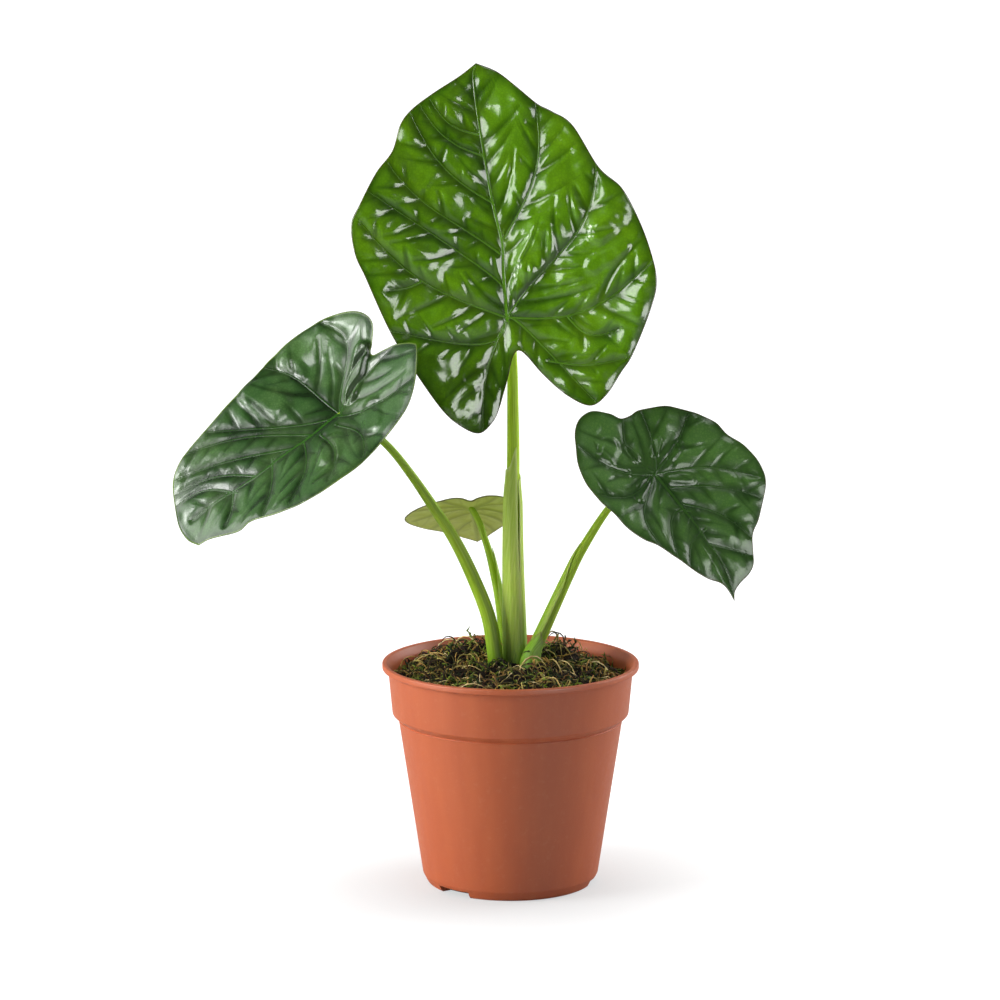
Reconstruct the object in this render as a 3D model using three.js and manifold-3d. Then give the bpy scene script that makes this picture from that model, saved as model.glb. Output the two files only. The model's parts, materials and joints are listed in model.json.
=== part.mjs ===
// A young alocasia in a terracotta-coloured nursery pot.
// Millimetres, +Z up. The origin is on the pot's axis, on the surface that the pot stands on,
// and -Y is the side that the tall leaf faces.
import * as THREE from 'three';
import { mergeVertices } from 'three/addons/utils/BufferGeometryUtils.js';
import Module from 'manifold-3d';

const wasm = await Module();
wasm.setup();

// ---------------------------------------------------------------- driving dimensions

const GAP = 0.3; // clearance between pieces that rest against each other

const POT = {
  height: 105,
  wall: 1.4,
  lipRadius: 60,
  lipHeight: 2.8,
  collarTopRadius: 57.3,
  collarFootRadius: 55.3,
  collarFootZ: 81.6,
  shoulderRadius: 52.4,
  shoulderZ: 78.2,
  heelRadius: 41.3,
  heelZ: 4.5,
  footRadius: 39.3,
  floor: 2,
  lipRound: 0.9, // rounding of the lip's edges
  footRound: 0.8, // rounding of the foot's edge
  step: 0.9, // how much higher the inner steps lie than the outer ones
  segments: 72,
};

const NOTCH = {
  azimuths: [230, 350, 110], // degrees from +X, towards +Y
  width: 23, // degrees of the rim
  height: 3.2,
  innerRadius: 36.5,
  outerRadius: 48,
};

const SOIL = { top: 92, pocketRadius: 17, pocketMargin: 0.5, segments: 40 };

const CORM = {
  foot: 66, waist: 73, widest: 80, top: 91.5,
  footRadius: 7.3, waistRadius: 13, radius: 14.5, crownRadius: 13.5,
  segments: 24,
};

const MOSS = {
  rings: 9,
  spokes: 40,
  edgeHeight: 5.5,
  crownHeight: 14.5,
  lump: 2.2,
};

const STALK = { sides: 10 };

const BLADE = { rings: 6, thickness: 1.5, rimThickness: 0.9 };

// Each stalk is a list of [x, y, z, diameter], from the corm to the blade.
const STALKS = {
  tall: [
    [2.2, 0, 91.8, 6.6], [2.1, 0, 100, 6.8], [1.9, 0, 118, 6.7], [1.1, 0.2, 155, 6.4],
    [1.1, 0.6, 183, 6.1], [1.2, 1, 206, 5.8], [1, 1.4, 226, 5.3], [0.8, 1.3, 242, 4.9],
    [0.1, -0.8, 256, 4.6], [-1.7, -6, 266.6, 4.2],
  ],
  left: [
    [-6.4, -6.4, 91.8, 6.6], [-6.6, -6.4, 100, 7.2], [-7.6, -6.2, 112, 7.2], [-10.5, -5.4, 128, 6.7],
    [-17.5, -4, 146, 6.2], [-25.8, -3, 163, 5.6], [-35.8, -2, 178.6, 4.9], [-45.8, -2, 193.5, 4.1],
    [-55.8, -3.4, 206.6, 3.6], [-67, -7.2, 217.2, 3.4], [-78.7, -15, 225.2, 3.4],
  ],
  right: [
    [8.4, -7.4, 91.8, 6.2], [8.7, -7.2, 100, 6.8], [10.4, -6, 110.6, 6.6], [13.5, -4.4, 117, 6.4],
    [19.6, -2, 130, 5.8], [27.1, 0, 146, 5.0], [33.2, 1, 158, 4.4], [44.8, 1, 176.5, 3.4],
    [55.2, -4, 188.6, 3.2], [66, -12, 196.5, 3.1],
  ],
  rear: [
    [-1.6, 9.6, 91.8, 4.8], [-1.8, 9.6, 100, 5.0], [-3, 9.6, 111, 4.8], [-4.2, 10, 124, 4.5],
    [-5.6, 11, 134.4, 4.3], [-7.5, 13, 143.5, 4.0], [-9.6, 15, 152.2, 3.6], [-12.2, 18, 160.4, 3.2],
    [-15, 20.4, 168, 3.0], [-18.3, 22, 175.5, 2.8],
  ],
};

// A wrap is a thin wall round a stalk, open along a slit. `rim` gives the height of its upper
// edge at shares of the way round, from the slit's far edge to the one that carries the tip.
const SHEATH = {
  fromZ: 97, wall: 0.9, slitAzimuth: -55, slitAngle: 16,
  footDiameter: 12.2, topDiameter: 8.6, topZ: 196,
  rim: [[0, 191], [0.4, 195.5], [0.74, 196], [0.86, 198.4], [0.91, 202.7], [0.99, 207.5], [1, 206.5]],
  sides: 24, levels: 7,
};
const SCRAP = {
  fromZ: 99, wall: 0.8, slitAzimuth: 67, slitAngle: 215,
  footDiameter: 9.6, topDiameter: 9.8, topZ: 112,
  rim: [[0, 103], [0.35, 109], [0.75, 116], [0.92, 114], [1, 108]],
  sides: 12, levels: 5,
};

// A blade grows from its attachment. `tip` is the direction of its midrib and `face` that of its
// glossy side. `arch` bends the midrib down towards the tip, `fold` raises both halves, `lobes`
// raises the two basal lobes. The outline runs from the tip, in [across, along] millimetres.
const BLADES = {
  tall: {
    at: [-1.7, -6, 266.6],
    tip: [-0.12, 0.14, 0.98],
    face: [0, -0.99, 0.14],
    arch: 0.0012, fold: 0.14, foldWidth: 16, lobes: 0.1,
    outline: [
      [0, 119], [-9, 113.5], [-22, 107], [-32, 101], [-38, 94.5], [-43, 83], [-51.5, 74],
      [-60.5, 60.5], [-65.5, 52], [-65.5, 38.5], [-62, 27], [-54.5, 3], [-48, -12], [-35, -36.5],
      [-26, -46.5], [-18.5, -50], [-12, -45.5], [-8.5, -40], [-3, -27], [0.5, -17.5], [3.5, -14.5],
      [7, -17.5], [13.5, -27], [23, -37.5], [33, -43.5], [41, -39.5], [49, -30], [55.5, -22],
      [66, -2.5], [70, 10], [68.5, 25.5], [64.5, 41], [59, 54], [50, 64.5], [40.5, 85],
      [32, 92.5], [25.5, 97], [17, 106], [9, 114],
    ],
  },
  left: {
    at: [-78.7, -15, 225.2],
    tip: [-0.807, -0.193, -0.557],
    face: [-0.339, -0.622, 0.706],
    arch: 0.004, fold: 0.25, foldWidth: 12, lobes: 0.5,
    outline: [
      [-2, 87.5], [-5.5, 81], [-16.5, 69.5], [-19, 62], [-30, 49.5], [-37.5, 37], [-41, 24],
      [-42, 9.5], [-38.5, -4.5], [-37.5, -16.5], [-34.5, -26.5], [-26.5, -35.5], [-14.5, -44],
      [-9.5, -44.5], [-0.5, -39.5], [4.5, -33], [8.5, -27.5], [12.5, -31], [18.5, -36.5],
      [25, -36.5], [32, -32.5], [39, -24.5], [43, -15.5], [46, -4.5], [46, 8.5], [43.5, 21],
      [41.5, 34], [40, 50], [39, 63.5], [37, 72.5], [33, 79.5], [25.5, 84.5], [14.5, 89.5],
      [5.5, 90],
    ],
  },
  right: {
    at: [66, -12, 196.5],
    tip: [0.565, -0.382, -0.731],
    face: [0.247, -0.767, 0.593],
    arch: 0.004, fold: 0.25, foldWidth: 12, lobes: 0.1,
    outline: [
      [0, 69], [-2.5, 65.5], [-7, 63.5], [-13, 62], [-17.5, 58.5], [-23, 48.5], [-30.5, 43],
      [-41, 32], [-44, 23.5], [-43, 13], [-39.5, 3], [-38, -5.5], [-33.5, -13.5], [-28, -19.5],
      [-20, -25.5], [-11.5, -29], [-6.5, -29], [-1.5, -30], [2, -34.5], [9, -39], [16, -39],
      [22, -35.5], [27.5, -29], [33, -19.5], [35.5, -10.5], [35, -1], [33.5, 7.5], [31, 17],
      [26, 26], [20.5, 32.5], [12.5, 46], [6, 54.5], [1.5, 60],
    ],
  },
  rear: {
    at: [-18.3, 22, 175.5],
    tip: [0.05, 0.88, -0.47],
    face: [0.12, 0.46, 0.88],
    arch: 0.002, fold: -0.08, foldWidth: 8, lobes: 0,
    outline: [
      [0, 49], [-6, 43], [-14, 34.5], [-24, 26.5], [-31, 17], [-32, 8], [-26, -2], [-17, -9],
      [-9, -13], [-4, -12], [0, -7.5], [3, -11], [8, -15.5], [15, -16], [22, -10.5], [26, -1],
      [26, 9], [21, 21], [13, 32], [5, 43],
    ],
  },
};

const COLOURS = {
  pot: 0xc0643f, soil: 0x3a2a1e, moss: 0x4f4a22, corm: 0x7a5a3a,
  stalk: 0x86a83a, sheath: 0xa3bf5e, scrap: 0x8aa046,
  tall: 0x3f7a1c, left: 0x3c5f3a, right: 0x2f5a2b, rear: 0x9aa35e,
};

// ---------------------------------------------------------------- helpers

function solidOf(geometry) {
  const bare = geometry.clone();
  for (const name of ['normal', 'uv']) {
    if (bare.getAttribute(name)) bare.deleteAttribute(name);
  }
  const merged = mergeVertices(bare, 1e-4);
  return new wasm.Manifold(new wasm.Mesh({
    numProp: 3,
    vertProperties: new Float32Array(merged.getAttribute('position').array),
    triVerts: new Uint32Array(merged.getIndex().array),
  }));
}

function geometryOf(solid) {
  const { vertProperties, triVerts } = solid.getMesh();
  const geometry = new THREE.BufferGeometry();
  geometry.setAttribute('position', new THREE.BufferAttribute(vertProperties, 3));
  geometry.setIndex(new THREE.BufferAttribute(triVerts, 1));
  return geometry;
}

function indexedGeometry(points, triangles) {
  const geometry = new THREE.BufferGeometry().setFromPoints(points);
  geometry.setIndex(triangles);
  return geometry;
}

function namedMesh(name, geometry, colour, roughness) {
  const material = new THREE.MeshStandardMaterial({ color: colour, roughness, metalness: 0 });
  geometry.computeVertexNormals();
  const mesh = new THREE.Mesh(geometry, material);
  mesh.name = name;
  return mesh;
}

// A lathe turned about +Z from [radius, z] pairs.
function turned(profile, segments) {
  const geometry = new THREE.LatheGeometry(
    profile.map(([radius, z]) => new THREE.Vector2(radius, z)), segments);
  return geometry.rotateX(Math.PI / 2);
}

// ---------------------------------------------------------------- pot

function potProfile() {
  const { height, wall, floor, step, lipRadius, lipRound, footRadius, footRound } = POT;
  const lipFoot = height - POT.lipHeight;
  return [
    [0, 0],
    [footRadius - footRound, 0],
    [footRadius, footRound],
    [POT.heelRadius, POT.heelZ],
    [POT.shoulderRadius, POT.shoulderZ],
    [POT.collarFootRadius, POT.collarFootZ],
    [POT.collarTopRadius, lipFoot],
    [lipRadius - lipRound / 3, lipFoot],
    [lipRadius, lipFoot + lipRound],
    [lipRadius, height - lipRound],
    [lipRadius - lipRound, height],
    [lipRadius - 2 * lipRound, height - lipRound / 3],
    [POT.collarTopRadius - wall, lipFoot - step],
    [POT.collarFootRadius - wall, POT.collarFootZ + step],
    [POT.shoulderRadius - wall, POT.shoulderZ + step],
    [footRadius, floor],
    [0, floor],
  ];
}

// Radius of the pot's inner wall at a height.
function innerRadius(z) {
  const wall = potProfile().slice(-6, -1).reverse();
  for (let i = 1; i < wall.length; i += 1) {
    const [r0, z0] = wall[i - 1];
    const [r1, z1] = wall[i];
    if (z <= z1) return THREE.MathUtils.mapLinear(z, z0, z1, r0, r1);
  }
  return wall.at(-1)[0];
}

function notchCutter(azimuth) {
  const half = NOTCH.width / 2;
  const [from, to] = [azimuth - half, azimuth + half].map(THREE.MathUtils.degToRad);
  const shape = new THREE.Shape();
  shape.absarc(0, 0, NOTCH.outerRadius, from, to, false);
  shape.absarc(0, 0, NOTCH.innerRadius, to, from, true);
  shape.closePath();
  const depth = NOTCH.height + 1;
  const slab = new THREE.ExtrudeGeometry(shape, { depth, bevelEnabled: false, curveSegments: 4 });
  return solidOf(slab.translate(0, 0, -1));
}

function makePot() {
  let pot = solidOf(turned(potProfile(), POT.segments));
  for (const azimuth of NOTCH.azimuths) pot = pot.subtract(notchCutter(azimuth));
  return geometryOf(pot);
}

// ---------------------------------------------------------------- soil, corm and moss

function makeSoil() {
  const low = POT.floor + GAP;
  const shoulder = POT.shoulderZ + POT.step;
  const collarFoot = POT.collarFootZ + POT.step;
  const pocket = cormProfile(SOIL.pocketMargin).slice(1, -2).map(([radius, z]) => [radius, z - GAP]);
  const profile = [
    [0, low],
    [innerRadius(low) - GAP, low],
    [innerRadius(shoulder) - GAP, shoulder],
    [innerRadius(collarFoot) - GAP, collarFoot],
    [innerRadius(SOIL.top) - GAP, SOIL.top],
    [SOIL.pocketRadius, SOIL.top],
    ...pocket.reverse(),
    [0, CORM.foot - GAP],
  ];
  return turned(profile, SOIL.segments);
}

// The corm's outline from its foot to its crown, grown outwards by a margin.
function cormProfile(margin) {
  return [
    [0, CORM.foot],
    [CORM.footRadius + margin, CORM.foot],
    [CORM.waistRadius + margin, CORM.waist],
    [CORM.radius + margin, CORM.widest],
    [CORM.crownRadius + margin, CORM.top],
    [0, CORM.top],
  ];
}

// The mat is highest round the stalks, and lumpy all over.
function mossTop(x, y) {
  const reach = Math.hypot(x, y) / (innerRadius(POT.height - 6) - GAP);
  const dome = THREE.MathUtils.lerp(MOSS.crownHeight, MOSS.edgeHeight, reach ** 1.6);
  const lumps = Math.sin(x * 0.19 + 1.3) * Math.cos(y * 0.23 - 0.4)
    + 0.6 * Math.sin(x * 0.37 - y * 0.31);
  return SOIL.top + GAP + dome + MOSS.lump * lumps * Math.min(1, 1.25 - reach);
}

function mossMat() {
  const { rings, spokes } = MOSS;
  const foot = SOIL.top + GAP;
  const points = [new THREE.Vector3(0, 0, mossTop(0, 0)), new THREE.Vector3(0, 0, foot)];
  const triangles = [];
  const index = (ring, spoke, side) => 2 + ((ring - 1) * spokes + (spoke % spokes)) * 2 + side;
  for (let ring = 1; ring <= rings; ring += 1) {
    for (let spoke = 0; spoke < spokes; spoke += 1) {
      const angle = (spoke / spokes) * 2 * Math.PI;
      const reach = (innerRadius(foot) - GAP) * (ring / rings);
      const x = reach * Math.cos(angle);
      const y = reach * Math.sin(angle);
      points.push(new THREE.Vector3(x, y, mossTop(x, y)), new THREE.Vector3(x, y, foot));
    }
  }
  for (let spoke = 0; spoke < spokes; spoke += 1) {
    triangles.push(0, index(1, spoke, 0), index(1, spoke + 1, 0));
    triangles.push(1, index(1, spoke + 1, 1), index(1, spoke, 1));
    for (let ring = 1; ring < rings; ring += 1) {
      const [a, b] = [index(ring, spoke, 0), index(ring + 1, spoke, 0)];
      const [c, d] = [index(ring + 1, spoke + 1, 0), index(ring, spoke + 1, 0)];
      triangles.push(a, b, c, a, c, d);
      triangles.push(a + 1, c + 1, b + 1, a + 1, d + 1, c + 1);
    }
    const [top, next] = [index(rings, spoke, 0), index(rings, spoke + 1, 0)];
    triangles.push(top, top + 1, next + 1, top, next + 1, next);
  }
  return indexedGeometry(points, triangles);
}

// The mat with a hole for each stalk; crumbs cut loose between the stalks are left out.
function makeMoss(cutters) {
  let mat = solidOf(mossMat());
  for (const cutter of cutters) mat = mat.subtract(cutter);
  const bodies = mat.decompose().sort((a, b) => b.volume() - a.volume());
  return geometryOf(bodies[0]);
}

// ---------------------------------------------------------------- stalks

function stalkCurve(stalk) {
  return new THREE.CatmullRomCurve3(
    stalk.map(([x, y, z]) => new THREE.Vector3(x, y, z)), false, 'catmullrom', 0.5);
}

// Diameter at a parameter of the stalk's curve, in step with its points.
function diameterAt(stalk, t) {
  const place = Math.min(t * (stalk.length - 1), stalk.length - 1 - 1e-9);
  const i = Math.floor(place);
  return THREE.MathUtils.lerp(stalk[i][3], stalk[i + 1][3], place - i);
}

// A closed tube of changing width, with level rings in the pot and square ones further up.
function makeStalk(stalk, extra = 0) {
  const curve = stalkCurve(stalk);
  const steps = (stalk.length - 1) * 2;
  const points = [];
  const triangles = [];
  const { sides } = STALK;
  for (let step = 0; step <= steps; step += 1) {
    const t = step / steps;
    const centre = curve.getPoint(t);
    const along = step === 0 ? new THREE.Vector3(0, 0, 1) : curve.getTangent(t);
    const across = new THREE.Vector3(0, 1, 0).cross(along).normalize();
    const other = along.clone().cross(across);
    const radius = diameterAt(stalk, t) / 2 + extra;
    for (let side = 0; side < sides; side += 1) {
      const angle = (side / sides) * 2 * Math.PI;
      points.push(centre.clone()
        .addScaledVector(across, radius * Math.cos(angle))
        .addScaledVector(other, radius * Math.sin(angle)));
    }
  }
  const last = steps * sides;
  for (let side = 0; side < sides; side += 1) {
    const next = (side + 1) % sides;
    for (let step = 0; step < steps; step += 1) {
      const [a, b] = [step * sides + side, step * sides + next];
      triangles.push(a, b, b + sides, a, b + sides, a + sides);
    }
    if (side > 0 && next > 0) {
      triangles.push(0, next, side);
      triangles.push(last, last + side, last + next);
    }
  }
  return indexedGeometry(points, triangles);
}

// ---------------------------------------------------------------- sheaths

// Height of a wrap's upper edge at a share of the way round it.
function rimHeight(rim, share) {
  const next = Math.max(1, rim.findIndex(([place]) => place >= share));
  const [[from, low], [to, high]] = [rim[next - 1], rim[next]];
  return THREE.MathUtils.mapLinear(share, from, to, low, high);
}

// The wall of a wrap, from its level foot up to its rim.
function makeWrap(stalk, wrap) {
  const curve = stalkCurve(stalk);
  const points = [];
  const triangles = [];
  const { sides, levels } = wrap;
  const ringSize = (sides + 1) * 2;
  for (let level = 0; level <= levels; level += 1) {
    for (let side = 0; side <= sides; side += 1) {
      const share = side / sides;
      const z = THREE.MathUtils.lerp(wrap.fromZ, rimHeight(wrap.rim, share), level / levels);
      const centre = pointAtHeight(curve, z);
      const rise = Math.min(1, (z - wrap.fromZ) / (wrap.topZ - wrap.fromZ));
      const outer = THREE.MathUtils.lerp(wrap.footDiameter, wrap.topDiameter, rise) / 2;
      const turn = wrap.slitAngle / 2 + (360 - wrap.slitAngle) * share;
      const angle = THREE.MathUtils.degToRad(wrap.slitAzimuth + turn);
      for (const radius of [outer, outer - wrap.wall]) {
        points.push(new THREE.Vector3(
          centre.x + radius * Math.cos(angle), centre.y + radius * Math.sin(angle), z));
      }
    }
  }
  const quad = (a, b, c, d) => triangles.push(a, b, c, a, c, d);
  for (let level = 0; level < levels; level += 1) {
    const low = level * ringSize;
    const high = low + ringSize;
    for (let side = 0; side < sides; side += 1) {
      const [a, b] = [side * 2, side * 2 + 2];
      quad(low + a, low + b, high + b, high + a);
      quad(low + a + 1, high + a + 1, high + b + 1, low + b + 1);
    }
    const end = sides * 2;
    quad(low, high, high + 1, low + 1);
    quad(low + end, low + end + 1, high + end + 1, high + end);
  }
  const top = levels * ringSize;
  for (let side = 0; side < sides; side += 1) {
    const [a, b] = [side * 2, side * 2 + 2];
    quad(a, a + 1, b + 1, b);
    quad(top + a, top + b, top + b + 1, top + a + 1);
  }
  return indexedGeometry(points, triangles);
}

// The room a wrap takes in the moss: thick and nearly closed copies of it, grown by the gap.
function wrapRoom(stalk, wrap) {
  const footDiameter = wrap.footDiameter + 2 * GAP;
  const topDiameter = wrap.topDiameter + 2 * GAP;
  const wall = wrap.footDiameter / 2 - 1;
  const copy = solidOf(makeWrap(stalk, { ...wrap, footDiameter, topDiameter, wall, slitAngle: 0.5 }));
  return [copy, copy.translate([0, 0, -GAP])];
}

// The point of a rising curve at a height, found by halving.
function pointAtHeight(curve, z) {
  let [low, high] = [0, 1];
  for (let i = 0; i < 30; i += 1) {
    const middle = (low + high) / 2;
    if (curve.getPoint(middle).z < z) low = middle;
    else high = middle;
  }
  return curve.getPoint(low);
}

// ---------------------------------------------------------------- blades

function bladeAxes(blade) {
  const along = new THREE.Vector3(...blade.tip).normalize();
  const face = new THREE.Vector3(...blade.face);
  face.addScaledVector(along, -face.dot(along)).normalize();
  return { along, face, across: along.clone().cross(face) };
}

// Height of the blade's face over the flat plane through its attachment.
function bladeLift(blade, x, y) {
  const soft = (value, width) => Math.hypot(value, width) - width;
  const arch = y > 0 ? -0.5 * blade.arch * y * y : blade.lobes * soft(y, 12);
  return arch + blade.fold * soft(x, blade.foldWidth);
}

// A closed solid between the face and a copy of it, `under` below and `over` above.
function makeBlade(blade, over = 0, under = 0) {
  const { along, face, across } = bladeAxes(blade);
  const origin = new THREE.Vector3(...blade.at);
  const { rings } = BLADE;
  const spokes = blade.outline.length;
  const points = [];
  const triangles = [];
  const addPair = (x, y, reach) => {
    const thickness = THREE.MathUtils.lerp(BLADE.thickness, BLADE.rimThickness, reach);
    const lift = bladeLift(blade, x, y);
    for (const height of [lift + over, lift - thickness - under]) {
      points.push(origin.clone().addScaledVector(across, x)
        .addScaledVector(along, y).addScaledVector(face, height));
    }
  };
  addPair(0, 0, 0);
  for (let ring = 1; ring <= rings; ring += 1) {
    for (const [x, y] of blade.outline) {
      addPair((x * ring) / rings, (y * ring) / rings, ring / rings);
    }
  }
  const index = (ring, spoke) => 2 + ((ring - 1) * spokes + (spoke % spokes)) * 2;
  for (let spoke = 0; spoke < spokes; spoke += 1) {
    const [first, second] = [index(1, spoke), index(1, spoke + 1)];
    triangles.push(0, first, second, 1, second + 1, first + 1);
    for (let ring = 1; ring < rings; ring += 1) {
      const [a, b] = [index(ring, spoke), index(ring + 1, spoke)];
      const [c, d] = [index(ring + 1, spoke + 1), index(ring, spoke + 1)];
      triangles.push(a, b, c, a, c, d);
      triangles.push(a + 1, c + 1, b + 1, a + 1, d + 1, c + 1);
    }
    const [rim, next] = [index(rings, spoke), index(rings, spoke + 1)];
    triangles.push(rim, rim + 1, next + 1, rim, next + 1, next);
  }
  return indexedGeometry(points, triangles);
}

// A stalk ends just under its blade: all that lies above the blade's underside is cut off.
function stalkUnderBlade(stalk, blade) {
  const cutter = solidOf(makeBlade(blade, 25, GAP));
  return geometryOf(solidOf(makeStalk(stalk)).subtract(cutter));
}

// ---------------------------------------------------------------- the whole plant

const plant = new THREE.Group();

plant.add(namedMesh('nursery_pot', makePot(), COLOURS.pot, 0.45));
plant.add(namedMesh('root_ball', makeSoil(), COLOURS.soil, 0.95));
plant.add(namedMesh('corm', turned(cormProfile(0), CORM.segments), COLOURS.corm, 0.8));

const mossCutters = [
  ...Object.values(STALKS).map((stalk) => solidOf(makeStalk(stalk, GAP))),
  ...wrapRoom(STALKS.tall, SHEATH),
  ...wrapRoom(STALKS.right, SCRAP),
];
plant.add(namedMesh('moss_mat', makeMoss(mossCutters), COLOURS.moss, 1));

for (const [name, stalk] of Object.entries(STALKS)) {
  const geometry = stalkUnderBlade(stalk, BLADES[name]);
  plant.add(namedMesh(`stalk_${name}`, geometry, COLOURS.stalk, 0.5));
}
plant.add(namedMesh('sheath_tall', makeWrap(STALKS.tall, SHEATH), COLOURS.sheath, 0.5));
plant.add(namedMesh('sheath_scrap', makeWrap(STALKS.right, SCRAP), COLOURS.scrap, 0.5));

for (const [name, blade] of Object.entries(BLADES)) {
  plant.add(namedMesh(`blade_${name}`, makeBlade(blade), COLOURS[name], 0.35));
}

export default plant;
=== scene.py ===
import json
import math

import bmesh
import bpy
import numpy as np
from mathutils import Matrix

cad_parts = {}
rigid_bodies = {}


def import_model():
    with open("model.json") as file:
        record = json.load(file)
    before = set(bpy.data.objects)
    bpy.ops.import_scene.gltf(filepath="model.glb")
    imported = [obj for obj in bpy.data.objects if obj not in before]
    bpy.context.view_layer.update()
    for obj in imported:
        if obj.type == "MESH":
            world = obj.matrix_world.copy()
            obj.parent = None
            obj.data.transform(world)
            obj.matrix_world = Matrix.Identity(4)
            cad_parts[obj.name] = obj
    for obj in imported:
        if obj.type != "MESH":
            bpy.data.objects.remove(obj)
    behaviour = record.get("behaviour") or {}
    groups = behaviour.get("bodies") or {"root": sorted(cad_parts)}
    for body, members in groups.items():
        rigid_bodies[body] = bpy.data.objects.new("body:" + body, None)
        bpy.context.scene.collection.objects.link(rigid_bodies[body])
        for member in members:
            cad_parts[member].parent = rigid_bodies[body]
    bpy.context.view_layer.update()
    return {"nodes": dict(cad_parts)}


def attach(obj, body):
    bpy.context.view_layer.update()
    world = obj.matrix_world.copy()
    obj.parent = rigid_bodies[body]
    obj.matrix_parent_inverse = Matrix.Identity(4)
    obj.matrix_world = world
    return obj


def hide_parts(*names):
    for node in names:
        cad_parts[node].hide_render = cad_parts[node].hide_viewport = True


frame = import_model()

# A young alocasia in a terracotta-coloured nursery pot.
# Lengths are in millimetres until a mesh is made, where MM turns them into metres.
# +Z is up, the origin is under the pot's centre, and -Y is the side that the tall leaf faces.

MM = 0.001
TURN = 2 * math.pi
SAMPLE_STEP = 1.0  # spacing of the samples along a vein
CHUNK = 3000  # points compared with all the veins at a time

# ---------------------------------------------------------------- sizes

POT = {
    "height": 105, "wall": 1.4, "lip_radius": 60, "lip_height": 2.8,
    "collar_top_radius": 57.3, "collar_foot_radius": 55.3, "collar_foot_z": 81.0,
    "shoulder_radius": 52.4, "shoulder_z": 78.2, "heel_radius": 41.3, "heel_z": 4.5,
    "foot_radius": 39.3, "floor": 2, "step": 0.9, "bead": 0.25, "segments": 240,
}
NOTCH = {"azimuths": (228, 350, 110), "width": 26, "height": 3.2, "inner": 32, "outer": 48}
SOIL_TOP = 92.3

# Each stalk is a list of [x, y, z, diameter], from the corm to the blade.
STALKS = {
    "tall": [
        [2.2, 0, 91.8, 6.6], [2.1, 0, 100, 6.8], [1.9, 0, 118, 6.7], [1.1, 0.2, 155, 6.4],
        [1.1, 0.6, 183, 6.1], [1.2, 1, 206, 5.8], [1, 1.4, 226, 5.3], [0.8, 1.3, 242, 4.9],
        [0.1, -0.8, 256, 4.6], [-1.7, -6, 266.6, 4.2]],
    "left": [
        [-6.4, -6.4, 91.8, 6.6], [-6.6, -6.4, 100, 7.2], [-7.6, -6.2, 112, 7.2],
        [-10.5, -5.4, 128, 6.7], [-17.5, -4, 146, 6.2], [-25.8, -3, 163, 5.6],
        [-35.8, -2, 178.6, 4.9], [-45.8, -2, 193.5, 4.1], [-55.8, -3.4, 206.6, 3.6],
        [-67, -7.2, 217.2, 3.4], [-78.7, -15, 225.2, 3.4]],
    "right": [
        [8.4, -7.4, 91.8, 6.2], [8.7, -7.2, 100, 6.8], [10.4, -6, 110.6, 6.6],
        [13.5, -4.4, 117, 6.4], [19.6, -2, 130, 5.8], [27.1, 0, 146, 5.0], [33.2, 1, 158, 4.4],
        [44.8, 1, 176.5, 3.4], [55.2, -4, 188.6, 3.2], [66, -12, 196.5, 3.1]],
    "rear": [
        [-1.6, 9.6, 91.8, 4.8], [-1.8, 9.6, 100, 5.0], [-3, 9.6, 111, 4.8], [-4.2, 10, 124, 4.5],
        [-5.6, 11, 134.4, 4.3], [-7.5, 13, 143.5, 4.0], [-9.6, 15, 152.2, 3.6],
        [-12.2, 18, 160.4, 3.2], [-15, 20.4, 168, 3.0], [-18.3, 22, 175.5, 2.8]],
}

SHEATH = {
    "from_z": 97, "wall": 0.9, "slit_azimuth": -55, "slit_angle": 16,
    "foot_diameter": 12.2, "top_diameter": 8.6, "top_z": 196,
    "rim": [[0, 191], [0.4, 195.5], [0.74, 196], [0.86, 198.4], [0.91, 202.7], [0.99, 207.5],
            [1, 206.5]],
    "sides": 120, "levels": 90, "closing": 0.97, "hug": 0.75, "hug_height": 14,
}
SCRAP = {
    "from_z": 99, "wall": 0.8, "slit_azimuth": 62, "slit_angle": 165,
    "foot_diameter": 11.2, "top_diameter": 9.6, "top_z": 118,
    "rim": [[0, 108], [0.3, 117], [0.55, 121], [0.8, 116], [0.88, 118], [1, 107]],
    "sides": 48, "levels": 24, "closing": 0, "hug": 0.6, "hug_height": 8,
}
# The free wings that run up two of the stalks from their feet, each to a point.
WINGS = {
    "right": {
        "from_z": 99, "wall": 0.5, "slit_azimuth": 15, "slit_angle": 215,
        "foot_diameter": 8.6, "top_diameter": 6.1, "top_z": 161,
        "rim": [[0, 138], [0.3, 150], [0.52, 162], [0.6, 158], [1, 140]],
        "sides": 40, "levels": 70, "closing": 0, "hug": 0, "hug_height": 1,
    },
    "rear": {
        "from_z": 99, "wall": 0.5, "slit_azimuth": 165, "slit_angle": 215,
        "foot_diameter": 6.6, "top_diameter": 4.9, "top_z": 156,
        "rim": [[0, 136], [0.35, 149], [0.5, 157], [0.62, 150], [1, 138]],
        "sides": 40, "levels": 70, "closing": 0, "hug": 0, "hug_height": 1,
    },
}

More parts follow.
